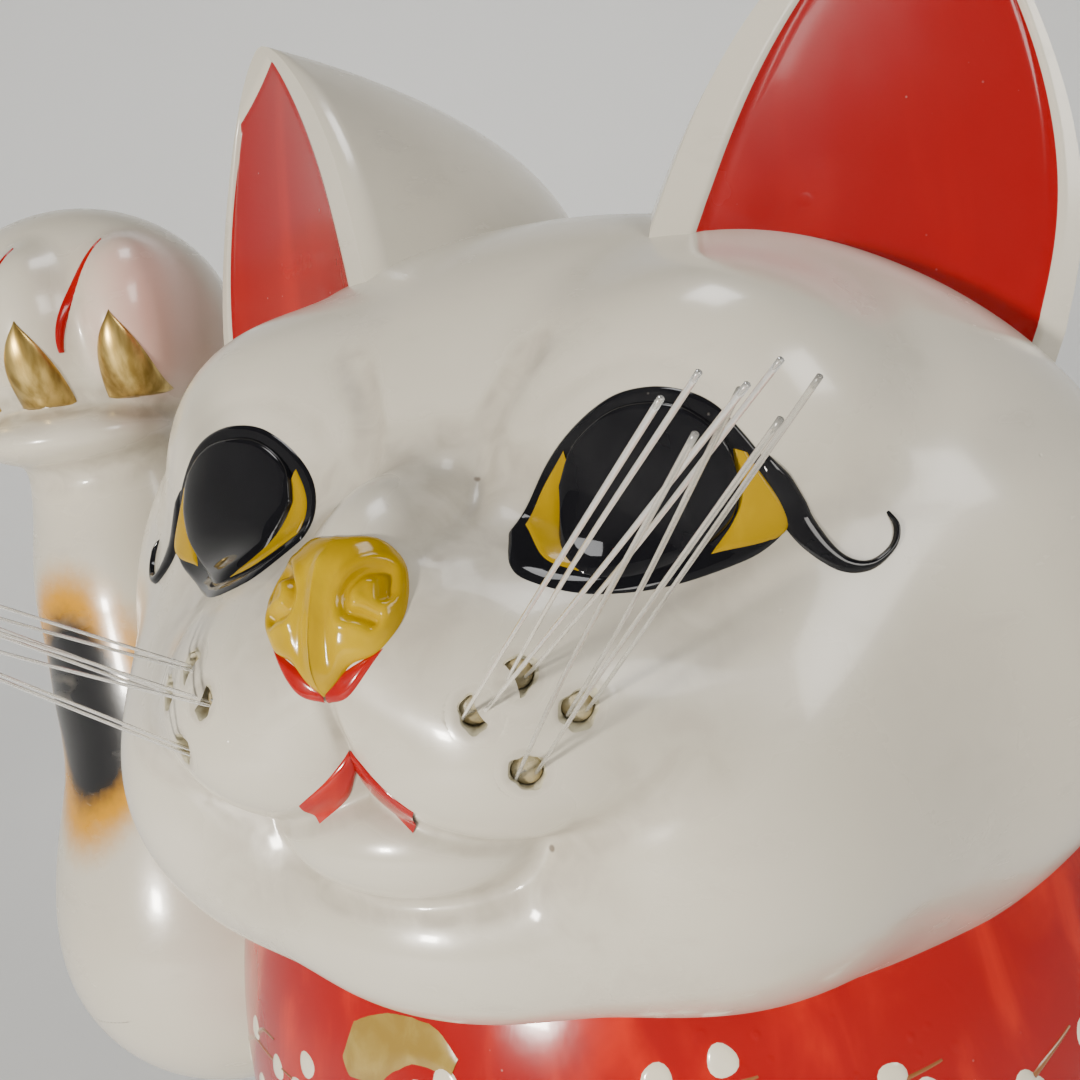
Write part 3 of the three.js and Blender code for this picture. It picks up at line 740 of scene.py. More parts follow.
# %% Nose
def nose_grid(rings, columns):
    outline = curve([(0, 42.5), (6, 41.6), (10.8, 37), (12.6, 31),
                     (9.6, 26.4), (5.4, 24.8), (2.6, 21.8), (0, 19.6)], 60)
    outline = np.concatenate([outline, outline[-2:0:-1] * [-1, 1]])
    outline = curve(np.concatenate([outline, outline[:1]]), columns + 1)[:-1]
    middle = np.array([0, 31.5])
    share = np.linspace(0.004, 1, rings)[:, None, None]
    flat = middle + (outline - middle) * share
    x, z = flat[..., 0], flat[..., 1]
    height = -0.4 + 3.3 * np.sqrt(1 - share[..., 0] ** 3) + 0 * x
    spine = np.exp(-((x / 0.9) ** 2)) * step(z, 21, 25) * step(40.5 - z, 0, 2)
    beside = np.exp(-(((np.abs(x) - 2.3) / 1.1) ** 2)) * step(z, 22, 27) * step(39 - z, 0, 4)
    comma = curve([(9.6, 33.4), (8.6, 36), (6, 36.6), (4.2, 34.6), (4.8, 32), (6.8, 31.2), (8.8, 30.2)], 50)
    gap = np.linalg.norm(np.stack([np.abs(x), z], -1)[..., None, :] - comma, axis=-1).min(-1)
    nostril, rim_of_nostril = np.exp(-((gap / 0.75) ** 2)), np.exp(-(((gap - 1.7) / 0.8) ** 2))
    height += 0.7 * spine - 0.6 * beside - 1.35 * nostril + 0.35 * rim_of_nostril
    return draped(x, z, height)


nose = nose_grid(46, 150)
skin("nose", [(facing(nose[::-1]), True, 0)], [yellow])
print("nose rings", len(nose))

# %% [markdown]
# ## Lips
# The lips are four strokes of the red enamel, two under the nose and two at the corners of the
# mouth. They use the same patches as the eyes, because they are laid on with the same brush.

# %% Lips
lips = []
for side in (1, -1):
    lips.append(patch(side, [(0.3, 21.2), (4.5, 24.2), (10.6, 27.2)],
                      [(0.3, 18.6), (5, 20.4), (10.6, 27.2)], 14, 40, 0.5))
    wide = 1.0 if side > 0 else 0.55
    outer = [(0.1, 9.4), (3.2 + 2.6 * wide, 3 + 3 * wide), (9.6 + 2.2 * wide, -1.8 + 3.2 * wide)]
    lips.append(patch(side, outer, [(0.1, 5.4), (3.2, 0.2), (8.8, -4.2)], 14, 40, 0.5))
skin("lips", [(g, False, 0) for g in lips], [red])
print("lip strokes", len(lips))

# %% [markdown]
# ## Ears
# An ear is a thick half cone. Its front is dished and painted red inside a rounded rim of bare
# glaze; glaze pooled where it was luted to the skull.
# The grid runs round the ear and up it, so that its rim stays one clean row of points, and the
# enamel is a second grid that follows the dish.

# %% Ears
def unit(x, y, z):
    return vec(x, y, z) / np.linalg.norm(vec(x, y, z))


EAR_ACROSS = unit(0.818, 0.36, -0.449)
EAR_BACK = unit(-0.484, 0.852, -0.2)
EAR_UP = unit(0.311, 0.38, 0.871)
foot_ray = unit(67.5, -6.5, 71)
EAR_FOOT = foot_ray * reach(head_field, vec(0, 0, 0)[None], foot_ray[None], 200)[0]
EAR_HIGH, EAR_WIDE, EAR_DEEP, EAR_LEAN = 77, 81, 97, 14


def ear_edges(share):
    risen = np.maximum(share, 0)
    swell = np.sin(math.pi * risen)
    closed = 1 - np.sqrt(np.clip(1 - risen**0.9, 0, 1))
    left = -EAR_WIDE / 2 - 5 * swell
    right = EAR_WIDE / 2 + 9 * swell
    return left + (-EAR_LEAN - left) * closed, right + (-EAR_LEAN - right) * closed


def ear_point(side, across, share, back):
    flat = EAR_FOOT + across[..., None] * EAR_ACROSS
    flat = flat + (share * EAR_HIGH)[..., None] * EAR_UP + back[..., None] * EAR_BACK
    return flat * vec(side, 1, 1) + HEAD


FACE_SHARE, FACE_MIDDLE = 0.86, 0.035  # how much of the ear's width is painted, and its middle


def dish(u, share):
    """How far the front of the ear lies behind its rim."""
    inside = np.clip(1 - ((u - FACE_MIDDLE) / FACE_SHARE) ** 2, 0, 1)
    floor = 5 * np.clip(1 - share, 0, 1) * inside
    return floor + 1.6 * step(inside, 0.0, 0.14) * step(1 - share, 0.08, 0.14)


def ear_grid(side, rows, columns):
    share = -0.42 + 1.42 * np.sin(np.linspace(0, math.pi / 2, rows))[:, None]
    turn = np.linspace(0, 2 * math.pi, columns, endpoint=False)[None]
    risen = np.maximum(share, 0)
    left, right = ear_edges(share)
    u = np.cos(turn)
    width = (right - left) / 2 + 2 * np.sqrt(np.clip(1 - risen**4, 0, 1))
    deep = EAR_DEEP * np.clip(1 - risen**4, 0, 1) ** 0.55 + 5 * np.sqrt(np.clip(1 - risen**8, 0, 1))
    behind = deep * np.abs(np.sin(turn)) ** 0.8
    back = np.where(np.sin(turn) > 0, behind, dish(u, share) * (1 - risen**12))
    return facing(close_ends(ear_point(side, (left + right) / 2 + width * u, share + 0 * u, back)))


def ear_face(side, rows, columns):
    """The red enamel on the dished front of an ear, down to the skull."""
    share = np.linspace(-0.2, 0.9, rows)[:, None]
    over = np.linspace(-1, 1, columns)[None]
    left, right = ear_edges(share)
    middle, width = (left + right) / 2, (right - left) / 2 + 2
    u = FACE_MIDDLE + over * FACE_SHARE * 0.985
    edge = np.minimum((1 - np.abs(over)) * width * 0.5, (0.9 - share) * EAR_HIGH * 0.5)
    lift = 1.15 * np.sqrt(np.clip(edge / 1.5, 0, 1)) - 0.3
    grid = ear_point(side, middle + width * u, share + 0 * u, dish(u, share) - lift)
    return grid if side > 0 else grid[:, ::-1]


for label, side in (("left", 1), ("right", -1)):
    skin(f"{label}_ear_casting", [(ear_grid(side, 120, 170), True, 0)], [glaze],
         stands_for=[f"{label}_ear"])
    skin(f"{label}_ear_enamel", [(ear_face(side, 90, 70), False, 0)], [ear_red])
print("ears made")

# %% [markdown]
# ## Body
# The body is a hollow shell: an upright pear with the folded thighs swelling its sides. The coin
# slot is cut through the back while the clay is leather hard, so its edges are slightly round.
# A plain lathe would make it round all over; here the outline is squeezed from front to back, and
# the same function gives the base and the collar their shape.

# %% Body
FLATTEN, NAPE, HIP = 0.9, 0.74, 66
outline = curve([(136, 0), (142, 10), (145, 66), (139, 114), (128.2, 200), (119, 265.5), (103, 315.5)], 200)


def body_point(angle, z, grow=0.0):
    radius = np.interp(z, outline[:, 1], outline[:, 0])
    off = np.abs(angle) - math.radians(66)
    radius = radius + 27 * np.exp(-((off / 0.55) ** 2) - ((z - HIP - 6) / 52) ** 2) + grow
    nape = FLATTEN + (NAPE - FLATTEN) * step(z, 170, 300)
    flatten = np.where(np.cos(angle) > 0, FLATTEN, nape)
    thigh = 1.6 * np.exp(-(((np.abs(angle) - 0.66) / 0.05) ** 2) - ((z - 78) / 36) ** 2)
    radius = radius - thigh
    return np.stack([radius * np.sin(angle), -radius * np.cos(angle) * flatten, z + 0 * angle], -1)


turn = np.linspace(-math.pi, math.pi, 260, endpoint=False)[None]
outer_z = np.concatenate([np.linspace(1.2, 12, 12), np.linspace(14, 306, 150)])[:, None]
outer = body_point(turn, outer_z)
foot_ring = ((9.0, -7), (1.2, -6.9), (0.25, -6.2), (0.0, -5), (0.0, -2.2), (0.3, -0.7))
foot = [body_point(turn, np.full((1, 1), z), grow)[0] for z, grow in foot_ring]
inner = body_point(turn, np.linspace(236, 10, 60)[:, None], -7)
chamber = np.concatenate([inner[:1].mean((0, 1))[None, None].repeat(260, 1), inner])
roof = outer[-1:].mean((0, 1))[None, None].repeat(260, 1)
shell = np.concatenate([chamber, np.array(foot), outer, roof])
body = skin("body", [(shell, True, 0)], [body_glaze], stands_for=["body_casting"])

# %% [markdown]
# ## Coin slot
# The slot is cut through the clay wall with a knife and its corners are smoothed with a finger.
# Here a rounded bar is taken away from the shell, which shows the wall's real thickness.

# %% Coin slot
slot_z, slot_half = 218, (21, 3)
corner = np.linspace(0, 2 * math.pi, 24, endpoint=False)
rounded = np.stack([np.sign(np.cos(corner)) * (slot_half[0] - 1.5) + 1.5 * np.cos(corner),
                    np.sign(np.sin(corner)) * (slot_half[1] - 1.5) + 1.5 * np.sin(corner)], -1)
cutter_grid = np.stack([np.concatenate([rounded, np.full((24, 1), y)], 1)[:, [0, 2, 1]] for y in (60, 160)])
cutter_grid[..., 2] += slot_z
cutter = skin("slot_cutter", [(facing(close_ends(cutter_grid)), True, 0)], [body_glaze], body=None)
cut = body.modifiers.new("coin slot", "BOOLEAN")
cut.operation, cut.solver, cut.object = "DIFFERENCE", "EXACT", cutter
carved = bpy.data.meshes.new_from_object(body.evaluated_get(bpy.context.evaluated_depsgraph_get()))
body.modifiers.clear()
body.data = carved
bpy.data.objects.remove(cutter)
print("body faces", len(body.data.polygons))

# %% [markdown]
# ## Collar
# The collar is a raised band painted red, with plum blossom on brown boughs. Blossoms are laid
# on as thick dots of cream enamel, five round a small middle.
# The band is the body's own surface a few millimetres further out, so it hugs the neck.

# %% Collar band
COLLAR_TOP = 305


def collar_drop(angle):
    return 36 + 57 * ((1 + np.cos(angle)) / 2) ** 1.5


def collar_point(angle, z, lift=0.0):
    low = COLLAR_TOP - collar_drop(angle)
    middle, half = (COLLAR_TOP + low) / 2, (COLLAR_TOP - low) / 2
    bow = np.sqrt(np.clip(1 - ((z - middle) / half) ** 2, 0, 1)) ** 0.6
    return body_point(angle, z, 7 * bow + lift)


turn = np.linspace(-math.pi, math.pi, 300, endpoint=False)
roll = np.linspace(-math.pi / 2, math.pi / 2, 40)[:, None]
low = COLLAR_TOP - collar_drop(turn)
band_z = (COLLAR_TOP + low) / 2 + (COLLAR_TOP - low) / 2 * np.sin(roll)
band = np.concatenate([body_point(turn, band_z[:1], -3),
                       body_point(turn[None], band_z, 7 * np.cos(roll) ** 0.6),
                       body_point(turn, band_z[-1:], -3)])
skin("collar", [(band, True, 0)], [red], stands_for=["collar_band"])
print("collar, mm high in front and behind:", collar_drop(0.0).round(1), collar_drop(math.pi).round(1))


# %% [markdown]
# ## Blossom
# Plum blossom is painted with the end of a round stick: five dots of thick cream enamel and a
# small yellow heart, on boughs drawn with one stroke. Each dab is a low dome that lies on the
# collar, so that it catches the light as a real drop does.

# %% Blossom
NECK_RADIUS = 118


def dab(angle, z, wide, high, thick=0.55):
    """A round dab of enamel on the collar."""
    share = np.linspace(0, 1, 7)[:, None]
    around = np.linspace(0, 2 * math.pi, 18, endpoint=False)[None]
    wobble = 1 + 0.06 * np.sin(3 * around + angle * 40)
    over = angle + share * wobble * wide / 2 / NECK_RADIUS * np.cos(around)
    rise = z + share * wobble * high / 2 * np.sin(around)
    return collar_point(over, rise, thick * np.sqrt(1 - share**2.5) - 0.1)[::-1]


def twig(points, widths, thick=0.35):
    line = curve([(math.radians(a), z) for a, z in points], 40)
    width = np.interp(np.linspace(0, 1, 40), np.linspace(0, 1, len(widths)), widths) / 2
    along = np.gradient(line * [NECK_RADIUS, 1], axis=0)
    along /= np.linalg.norm(along, axis=1, keepdims=True)
    over = np.linspace(-1, 1, 7)[:, None]
    angle = line[None, :, 0] - over * width * along[:, 1] / NECK_RADIUS
    rise = line[None, :, 1] + over * width * along[:, 0]
    return collar_point(angle, rise, thick * np.sqrt(1 - over**2) - 0.1)


LOOSE = [(-50, 240), (-41, 259), (-33, 258), (-26, 266), (-39, 246), (-28, 258), (-6, 277), (-9, 273),
         (15, 283), (21, 286), (18, 280), (36, 279), (39, 275), (43, 272), (49, 270), (50, 268),
         (58, 273), (59, 271)]
BOUGHS = [[(-42, 255), (-38, 262), (-34, 264)], [(-56, 236), (-50, 244), (-42, 255), (-36, 258), (-27, 260)],
          [(17, 276), (20, 281), (24, 283)], [(33, 270), (35, 277), (41, 280)],
          [(44, 264), (50, 271), (56, 276)], [(-14, 268), (-9, 274), (-2, 278)]]
SPRAYS = [(-62, 250), (-20, 244), (2, 252), (24, 256), (46, 250), (68, 262), (92, 278), (128, 286),
          (164, 286), (-84, 272), (-118, 284), (-152, 286), (-34, 238), (12, 236)]
dabs, hearts, twigs = [], [], []
for angle, z in LOOSE:
    dabs.append(dab(math.radians(angle), z, 6.2, 6.2))
for number, (angle, z) in enumerate(SPRAYS):
    start = number * 1.1
    for petal in range(5):
        way = start + petal * 2 * math.pi / 5
        across = math.radians(angle) + 5.2 * math.cos(way) / NECK_RADIUS
        dabs.append(dab(across, z + 5.2 * math.sin(way), 5.8, 5.8))
    hearts.append(dab(math.radians(angle), z, 2.6, 2.6, 0.8))
    BOUGHS.append([(angle - 9, z - 12), (angle - 4, z - 7), (angle + 1, z - 3), (angle + 7, z + 2)])
for bough_line in BOUGHS:
    twigs.append(twig(bough_line, [1.0, 1.7, 1.3, 0.5]))
blossom = [(g, True, 0) for g in dabs] + [(g, True, 1) for g in hearts]
skin("blossom", blossom, [cream, yellow])
skin("boughs", [(g, False, 0) for g in twigs], [bough])
leaf = twig([(-19, 272), (-14, 280), (-9, 283), (-5, 280)], [5, 15, 12, 5], 0.4)
skin("leaf", [(leaf, False, 0)], [olive])
print("blossom dabs", len(dabs))

# %% [markdown]
# ## Limbs
# The forelegs, paws and tail are swept along a line, with toes, pads and claws swelling out of
# them. Clay limbs are blended into the paw with a wet brush, so nothing meets at a sharp edge.
# Rays sent sideways from the line find the surface, which keeps the points even along the limb.

# %% Wrapped skins
def wrap(field, spine, columns, rows, cap_rows, far):
    """A skin round a field: rays leave a line of points sideways, and its ends over a cap."""
    line = curve(spine, rows)
    along = np.gradient(line, axis=0)
    along /= np.linalg.norm(along, axis=1, keepdims=True)
    side = np.cross(along, vec(1, 0.1, 0.05))
    side /= np.linalg.norm(side, axis=1, keepdims=True)
    other = np.cross(along, side)
    turn = np.linspace(0, 2 * math.pi, columns, endpoint=False)[:, None]
    tilts = np.linspace(0.02, math.pi / 2, cap_rows, endpoint=False)
    rings, starts = [], []
    start_cap, end_cap = [(0, t) for t in tilts], [(rows - 1, math.pi - t) for t in tilts[::-1]]
    for row, tilt in start_cap + [(i, math.pi / 2) for i in range(rows)] + end_cap:
        sideways = np.cos(turn) * side[row] + np.sin(turn) * other[row]
        rings.append(sideways * math.sin(tilt) - along[row] * math.cos(tilt))
        starts.append(np.repeat(line[row][None], columns, 0))
    flat, origins = np.concatenate(rings), np.concatenate(starts)
    points = origins + flat * reach(field, origins, flat, far)[:, None]
    return facing(points.reshape(-1, columns, 3))


def set_crease(made, field):
    """Grime and painted shade: the glaze darkens where a swelling closes in on its neighbour."""
    set_shade(made, closed_in(field, points_of(made)) * 2)


def turned(p, middle, degrees):
    """Points in the axes of a paw that is turned about the upright."""
    angle = math.radians(degrees)
    q = p - middle
    x = q[..., 0] * math.cos(angle) + q[..., 1] * math.sin(angle)
    y = -q[..., 0] * math.sin(angle) + q[..., 1] * math.cos(angle)
    return np.stack([x, y, q[..., 2]], -1)


print("a point turned by a quarter:", turned(vec(1, 0, 0), vec(0, 0, 0), 90).round(2))


# %% [markdown]
# ## Raised foreleg
# The raised foreleg is cast in its own mould and luted to the shoulder. It narrows to the wrist
# and swells into a fist with three toes and a pad below them. A field of blended forms is used,
# so that the toes close in on each other without a seam.

# %% Raised foreleg
FIST, FIST_TURN = vec(-174, -6, 436), 20
ARM_SPINE = [(-152, -10, 240), (-158, -12, 262), (-164, -8, 320),
             (-170, -4, 368), (-175, -5, 404), (-175, -9, 436)]


def fist_field(p):
    q = turned(p, FIST, FIST_TURN)
    d = ellipsoid(q, vec(0, 1, 0), vec(46.5, 39, 40))
    for across, back in ((-25, 5.5), (0, 0), (25, 5.5)):
        d = join(d, ellipsoid(q, vec(across, -24 + back, 3), vec(15.6, 21, 25)), 3.5)
    return join(d, ellipsoid(q, vec(0, -21, -28), vec(29, 24, 10)), 3)


def arm_field(p):
    d = capsule(p, vec(-153, -10, 244), vec(-166, -6, 352), 59, 31)
    d = join(d, capsule(p, vec(-164, -7, 330), vec(-175, -3, 430), 35, 28), 22)
    return join(d, fist_field(p), 7)


arm = skin("raised_arm", [(close_ends(wrap(arm_field, ARM_SPINE, 170, 190, 40, 110)), True, 0)], [arm_glaze],
           stands_for=["raised_foreleg"])
set_crease(arm, arm_field)
print("raised foreleg faces", len(arm.data.polygons))


# %% [markdown]
# ## Claws and toe lines
# The claws are painted in gold and the gaps between the toes in red, after the last firing. They
# are thin pads of paint dropped on to the fist's own surface, so they follow it exactly.

# %% Claws and toe lines
def paw_front(field, middle, degrees, start, far):
    """Gives a function of (across, up, height): points that stand out of the front of a paw."""
    angle = math.radians(degrees)
    ahead = vec(math.sin(angle), -math.cos(angle), 0)
    sideways = vec(math.cos(angle), math.sin(angle), 0)

    def place(across, up, height):
        across, up = np.broadcast_arrays(across, up)
        origins = middle + across.ravel()[:, None] * sideways
        origins = origins + up.ravel()[:, None] * vec(0, 0, 1) + ahead * start
        ways = np.broadcast_to(ahead, origins.shape)
        base = origins + ways * reach(field, origins, ways, far)[:, None]
        base = base + outward(field, base) * np.broadcast_to(height, across.shape).ravel()[:, None]
        return base.reshape(across.shape + (3,))[:, ::-1]

    return place


on_fist = paw_front(arm_field, FIST, FIST_TURN, 0, 70)
claws, toe_lines = [], []
for across in (-25, 0, 25):
    rise = np.linspace(0, 1, 40)[:, None]
    over = np.linspace(-1, 1, 25)[None]
    half = 8.4 * (1 - rise**2.8) * np.clip(rise / 0.04, 0, 1) ** 0.5 + 0.05
    bulge = 2.6 * np.sqrt(np.clip(1 - over**2, 0, 1)) * (1 - rise) ** 0.45 - 0.3
    bulge = bulge * np.clip(rise / 0.05, 0, 1) ** 0.5
    claws.append(on_fist(across + over * half + 1.2 * rise, -18.5 + 25 * rise - 1.2 * over**2, bulge))
for across in (-13.5, 10):
    rise = np.linspace(0, 1, 50)[:, None]
    over = np.linspace(-1, 1, 7)[None]
    half = 1.25 * np.sin(math.pi * np.clip(rise * 0.85 + 0.12, 0, 1)) ** 0.7
    raised = 0.4 * np.sqrt(1 - over**2) - 0.05 + 0 * rise
    toe_lines.append(on_fist(across + 11 * rise**1.5 + over * half, -4 + 31 * rise, raised))
skin("claws", [(g, False, 0) for g in claws], [gold])
skin("toe_lines", [(g, False, 0) for g in toe_lines], [red])
print("claws", len(claws), "and toe lines", len(toe_lines))


# %% [markdown]
# ## Paws
# The paws that stand on the ground are one small mould used three times. One field with a place
# and a turn makes all of them, with a flat sole where the wet clay was set down.

# %% Paws on the ground
def paw_field(middle, degrees):
    def field(p):
        q = turned(p, middle, degrees)
        d = ellipsoid(q, vec(0, 0, 15.2), vec(32, 38, 23))
        for across, back in ((-21.5, 4.5), (0, 0), (21.5, 4.5)):
            d = join(d, ellipsoid(q, vec(across, -26.5 + back, 16.6), vec(12.4, 18.6, 18.6)), 2.5)
        return np.maximum(d, 0.4 - q[..., 2])
    return field


def paw_skin(field, middle, rows, columns):
    """A paw's skin, from rays that leave its middle in all directions."""
    polar = np.linspace(0.004, math.pi - 0.004, rows)[:, None]
    turn = np.linspace(0, 2 * math.pi, columns, endpoint=False)[None]
    ray = [np.sin(polar) * np.cos(turn), -np.cos(polar) + 0 * turn, np.sin(polar) * np.sin(turn)]
    rays = np.stack(ray, -1).reshape(-1, 3)
    origins = np.repeat((middle + vec(0, -6, 15))[None], len(rays), 0)
    return facing((origins + rays * reach(field, origins, rays, 70)[:, None]).reshape(rows, columns, 3))


def paw_marks(field, middle, degrees):
    """Claws and toe lines of a paw that stands on the ground."""
    place = paw_front(field, middle, degrees, 8, 60)
    made = []
    rise, over = np.linspace(0, 1, 24)[:, None], np.linspace(-1, 1, 15)[None]
    for across in (-21.5, 0, 21.5):
        half = 4.6 * (1 - rise**1.4) * np.clip(rise / 0.05, 0, 1) ** 0.5 + 0.05
        height = 1.5 * np.sqrt(np.clip(1 - over**2, 0, 1)) * (1 - rise) ** 0.45 - 0.2
        made.append((place(across + over * half, 4 + 13 * rise, height), 0))
    for across in (-10.8, 10.8):
        height = 0.35 * np.sqrt(1 - over**2) * np.sin(math.pi * rise) ** 0.3 - 0.05
        made.append((place(across + over * 0.8, 6 + 24 * rise, height), 1))
    return made


marks = []
for label, side in (("left", 1), ("right", -1)):
    middle = vec(side * 134, -107.3, 0)
    field = paw_field(middle, side * 8)
    paw = skin(f"{label}_hind_foot", [(close_ends(paw_skin(field, middle, 90, 120)), True, 0)], [glaze],
               stands_for=[f"{label}_hind_paw"])
    set_crease(paw, field)
    marks += paw_marks(field, middle, side * 8)
print("marks on the hind paws", len(marks))

# %% [markdown]
# ## Standing foreleg
# The other foreleg leans against the chest and ends in a paw. It is wrapped like the raised one,
# and blended into its paw, as clay is smoothed with a wet brush.

# %% Standing foreleg
FORE_PAW = vec(58, -132, 0)
fore_paw = paw_field(FORE_PAW, 0)


def foreleg_field(p):
    d = capsule(p, vec(80, -66, 170), vec(70, -110, 100), 40, 33)
    d = join(d, capsule(p, vec(71, -108, 112), vec(60, -125, 26), 33, 27), 16)
    return np.maximum(join(d, fore_paw(p), 5), 0.4 - p[..., 2])


LEG_SPINE = [(80, -66, 170), (76, -92, 132), (67, -116, 80), (60, -127, 30), (58.5, -128.5, 16)]
leg = wrap(foreleg_field, LEG_SPINE, 150, 150, 34, 90)
leg_skin = skin("standing_leg", [(close_ends(leg), True, 0)], [glaze],
                stands_for=["standing_foreleg"])
set_crease(leg_skin, foreleg_field)
marks += paw_marks(foreleg_field, FORE_PAW, 0)
skin("paw_marks", [(g, False, number) for g, number in marks], [gold, red])
print("standing foreleg faces", len(leg_skin.data.polygons))

# %% [markdown]
# ## Tail
# The tail is a short bob, rolled by hand and luted to the back. It is a tube along a curved
# line, with a radius that shrinks towards its rounded end.

# %% Tail
tail_line = curve([(6, 122, 36), (52, 139.5, 34), (104, 124, 31), (138, 86, 30)], 90)
share = np.linspace(-1, 1, 90)
tail_radii = 22 * (1.1 - 0.35 * (share + 1) / 2) * (1 - np.abs(share) ** 6) ** 0.5
tail_grid = close_ends(tube(tail_line, tail_radii, 60))
skin("tail_casting", [(tail_grid, True, 0)], [tail_glaze], stands_for=["tail"])
print("tail, mm thick at its middle:", 2 * tail_radii.max().round(1))

# %% [markdown]
# ## Base
# The base plate is bare clay, because it stood on the kiln shelf, and a hole lets the gas out.
# It is one band of rings that runs from the hole out to the body's foot, which takes its shape
# from the body, and back.

# %% Base
def turned_part(profile, middle, sides):
    """A round part from (radius, z) pairs, about an upright axis."""
    turn = np.linspace(0, 2 * math.pi, sides, endpoint=False)
    profile = np.array(profile, float)
    radius, height = profile[:, 0, None], profile[:, 1, None]
    return np.stack([radius * np.cos(turn), radius * np.sin(turn), height + 0 * turn], -1) + middle


HOLE_AT = vec(0, 62, 0)
turn = np.linspace(0, 2 * math.pi, 200, endpoint=False)
round_hole = [(HOLE_AT + np.stack([r * np.sin(turn), -r * np.cos(turn), np.full(200, z)], -1))
              for r, z in ((17, 9), (17, 5.4), (17.3, 5), (22, 5), (22, 0.9), (22.6, 0.25))]
rim_ring = ((0.25, -7.9), (0.9, -7.3), (8.4, -7.3), (9, -7.9))
rim = [body_point(turn, np.full(200, z), grow) for z, grow in rim_ring]
base = np.array(round_hole + rim + [round_hole[0]])
skin("base", [(facing(base), True, 0)], [bisque], stands_for=["base_plate"])
print("base rings", len(base))

# %% [markdown]
# ## Stopper
# The stopper is moulded in soft rubber: a finger rim, a rounded shoulder and four ribs that grip
# the hole. It is turned from one outline and rides on its own body, because it pulls out.

# %% Stopper
bung = [(0, 1), (15, 1), (20.2, 1.0), (21.2, 1.6), (21.4, 2.6), (21, 3.5), (17.4, 3.7), (16.7, 4.1)]
for rib in range(4):
    z = 5.5 + rib * 2.2
    bung += [(16.1, z - 0.5), (16.7, z + 0.4), (16.5, z + 1.0)]
bung += [(16.6, 14), (15.2, 18), (13.4, 19.8), (12.4, 20), (0, 20)]
skin("stopper_bung", [(facing(turned_part(bung, HOLE_AT, 72)), True, 0)], [rubber],
     body="stopper", stands_for=["base_stopper"])
pull = tube(curve([(-9, 62, 1.2), (-5, 62, 0.5), (5, 62, 0.5), (9, 62, 1.2)], 20), 0.9, 10)
skin("stopper_pull_rib", [(close_ends(pull), True, 0)], [rubber], body="stopper")
print("points of the stopper's outline", len(bung))

# %% [markdown]
# ## Whiskers
# A whisker is one clear nylon filament folded in two and pushed into its hole, so two strands
# stand out side by side. A drop of glue, now yellow, holds the fold.
# A hair system would be quicker, but a strand here is one tube along a folded line, so it shows
# the fold and both cut ends as the real one does.

# %% Whiskers and glue
GATHER_AT, WHISKER_LONG = (31.4, 16.4), 84

for number, (side, mouth, axis) in enumerate(holes):
    label, index = ("left", "right")[number // 4], number % 4
    across_place, up_place = places[index]
    lift = unit(side * 0.545, -0.585, 0.56)
    spread = np.cross(vec(0, 0, 1), lift)
    spread *= 1.7 / np.linalg.norm(spread)
    gather = vec(side * (GATHER_AT[0] - across_place), 0, GATHER_AT[1] - up_place) * 0.7
    bend = mouth - axis * (HOLE_DEPTH - 3.3)
    ends = []
    for way in (1, -1):
        start = mouth + way * spread * 0.9
        tip = mouth + spread * way * 2.0 + lift * WHISKER_LONG + gather
        bow = rng.normal(0, 0.9, 3)
        ends.append([start, start + (tip - start) * 0.5 + bow, tip])
    fold = [bend + spread * 0.5, bend - spread * 0.5]
    line = curve(ends[0][::-1] + fold + ends[1], 120)
    strand = close_ends(tube(line + HEAD, FILAMENT * 0.75, 8))
    skin(f"strand_{label}_{index + 1}", [(strand, True, 0)], [nylon],
         stands_for=[f"whisker_{label}_{index + 1}"])
    sideways = np.cross(axis, vec(0, 0, 1))
    sideways /= np.linalg.norm(sideways)
    upwards = np.cross(sideways, axis)
    turn = np.linspace(0, 2 * math.pi, 24, endpoint=False)[None, :, None]
    share = np.linspace(1, 0.01, 10)[:, None, None]
    ripple = 0.12 * np.sin(2 * turn + number) * share
    drop = mouth - axis * (2.4 - 0.9 * np.sqrt(1 - share**2) + ripple)
    drop = drop + 2.42 * share * (np.cos(turn) * sideways + np.sin(turn) * upwards) + HEAD
    skin(f"glue_drop_{label}_{index + 1}", [(facing(close_ends(drop)), True, 0)], [glue],
         stands_for=[f"glue_{label}_{index + 1}"])
print("whiskers", len(holes))

# %% [markdown]
# ## Camera
# The cat is seen from close by, from its left and from just above its nose, so that the face
# fills the frame. The camera is placed from the head, and stays with it if the head moves.

# %% Camera
NOSE = HEAD + vec(0, -103, 21.5)
camera_data = bpy.data.cameras.new("camera")
camera = bpy.data.objects.new("camera", camera_data)
bpy.context.scene.collection.objects.link(camera)
bpy.context.scene.camera = camera
camera_data.lens, camera_data.sensor_width, camera_data.clip_start = 35.0, 36.0, 0.005
camera.location = (NOSE + vec(96.1, -125.8, 50.2)) * MM
ahead = Vector((-0.4154, 0.8856, -0.2079))
across = Vector((0.9092, 0.3969, -0.1262))
upward = across.cross(ahead)
camera.rotation_mode = "QUATERNION"
camera.rotation_quaternion = Matrix([[across[i], upward[i], -ahead[i]] for i in range(3)]).to_quaternion()
print("camera, mm from the nose:", (np.array(camera.location) / MM - NOSE).round(1))

# %% [markdown]
# ## Backdrop
# A studio has no corners behind the object: the floor curves up into a wall. Pale paper lies
# under and behind the cat. The side in front of it is dark grey: painted shade that stands in for
# the unlit room in front of the cat, which keeps the reflections in the dark enamels deep.

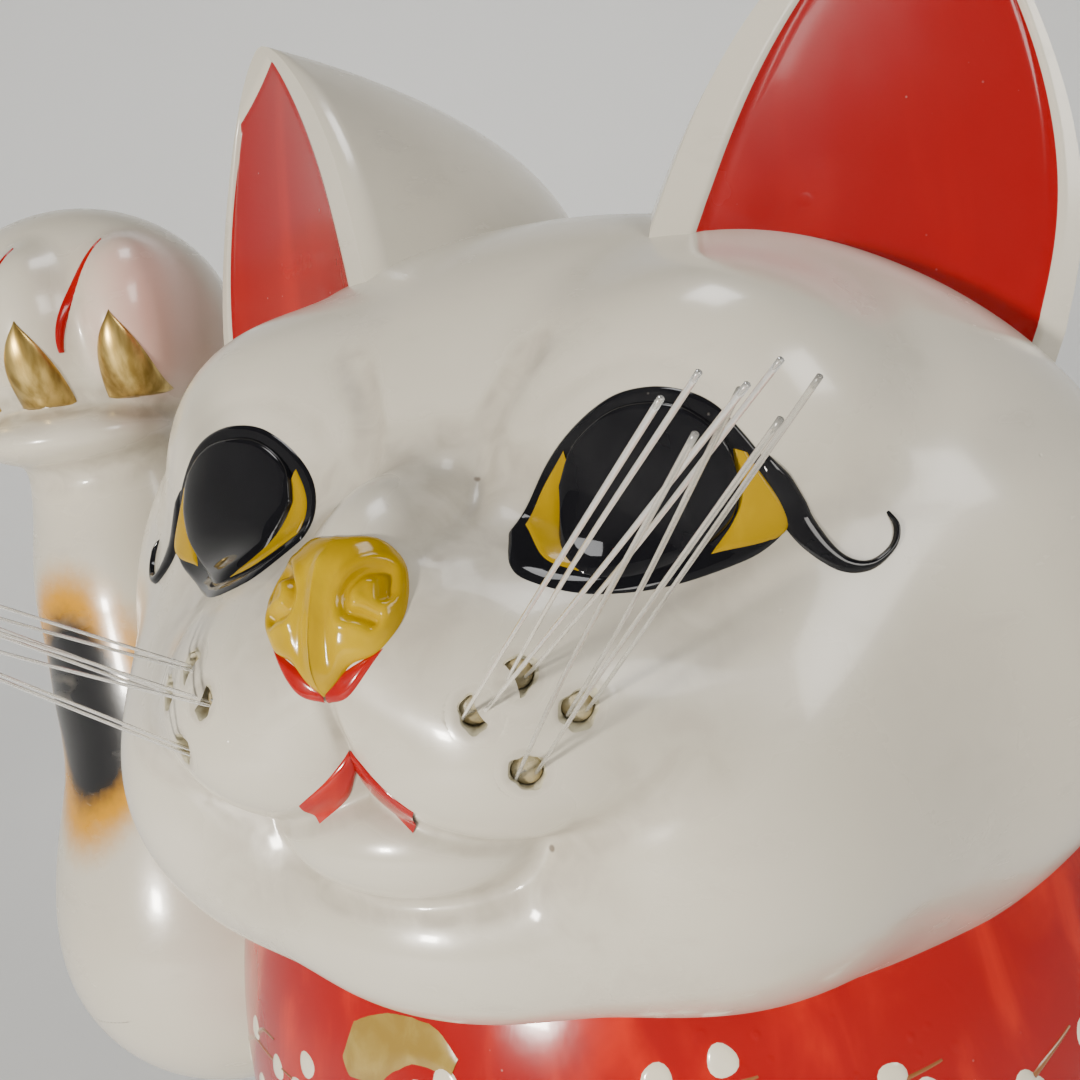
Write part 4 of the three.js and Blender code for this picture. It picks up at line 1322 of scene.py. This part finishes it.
# %% Floor
def backdrop(place):
    """Pale paper on the floor and behind the cat, and dark grey painted shade on the raised side in front of
    it.
    """
    paper = place.noise(3, 3).mix((0.84, 0.84, 0.83, 1), (0.88, 0.88, 0.87, 1))
    ahead = 1 - place.vector("DOT_PRODUCT", (-0.42, 0.9, 0), output=1).ramp(-0.3, 0.5)
    raised = place.vector("DOT_PRODUCT", (0, 0, 1), output=1).ramp(0.0, 0.12)
    # Painted shade: the raised side in front of the cat is dark grey, for the unlit room that the enamels
    # reflect.
    return {"Base Color": (ahead * raised).mix(paper, (0.10, 0.10, 0.105, 1))}


pale = finish("pale_floor", backdrop, Roughness=0.7)
sweep = curve([(0, 0), (900, 0), (1500, 60), (1900, 500), (2050, 1400), (2080, 2400)], 40)
turn = np.linspace(0, 2 * math.pi, 64, endpoint=False)
run, rise = sweep[:, None, 0], sweep[:, None, 1]
bowl = np.stack([run * np.cos(turn), run * np.sin(turn), rise + 0 * turn], -1)
floor = skin("floor", [(bowl[::-1], True, 0)], [pale], body=None)
print("floor faces", len(floor.data.polygons))

# %% [markdown]
# ## Lights
# A small lamp low on the left throws the whiskers' shadows across the cheek. A wide window on
# the right shapes the cheeks, a soft lamp above lights the skull, and one lamp lights the wall.

# %% Lights
world = bpy.data.worlds.new("studio")
bpy.context.scene.world = world
world.use_nodes = True
world.node_tree.nodes["Background"].inputs["Color"].default_value = (0.86, 0.9, 0.95, 1)
world.node_tree.nodes["Background"].inputs["Strength"].default_value = 0.045


def soft_light(name, place, target, size, watts, colour=(1, 1, 1)):
    data = bpy.data.lights.new(name, "AREA")
    data.shape, data.size, data.size_y, data.energy, data.color = "RECTANGLE", size[0], size[1], watts, colour
    lamp = bpy.data.objects.new(name, data)
    bpy.context.scene.collection.objects.link(lamp)
    lamp.location = Vector(place) * MM
    lamp.rotation_mode = "QUATERNION"
    lamp.rotation_quaternion = (Vector(target) * MM - lamp.location).to_track_quat("-Z", "Y")
    return lamp


soft_light("key", (-330, -1180, 420), (0, -60, 330), (0.11, 0.11), 15, (1, 0.95, 0.86))
soft_light("window", (1200, -350, 1150), (0, -60, 330), (0.5, 0.5), 8.5, (1, 0.97, 0.92))
soft_light("top", (100, 200, 1700), (0, 0, 300), (0.4, 0.4), 5)
soft_light("wall", (-200, 500, 1300), (-900, 1800, 700), (0.5, 0.5), 10)
print("lamps", len(bpy.data.lights))

# %% [markdown]
# ## Size
# Enamel and glaze may stand out of the clay of the CAD model by a millimetre or so.
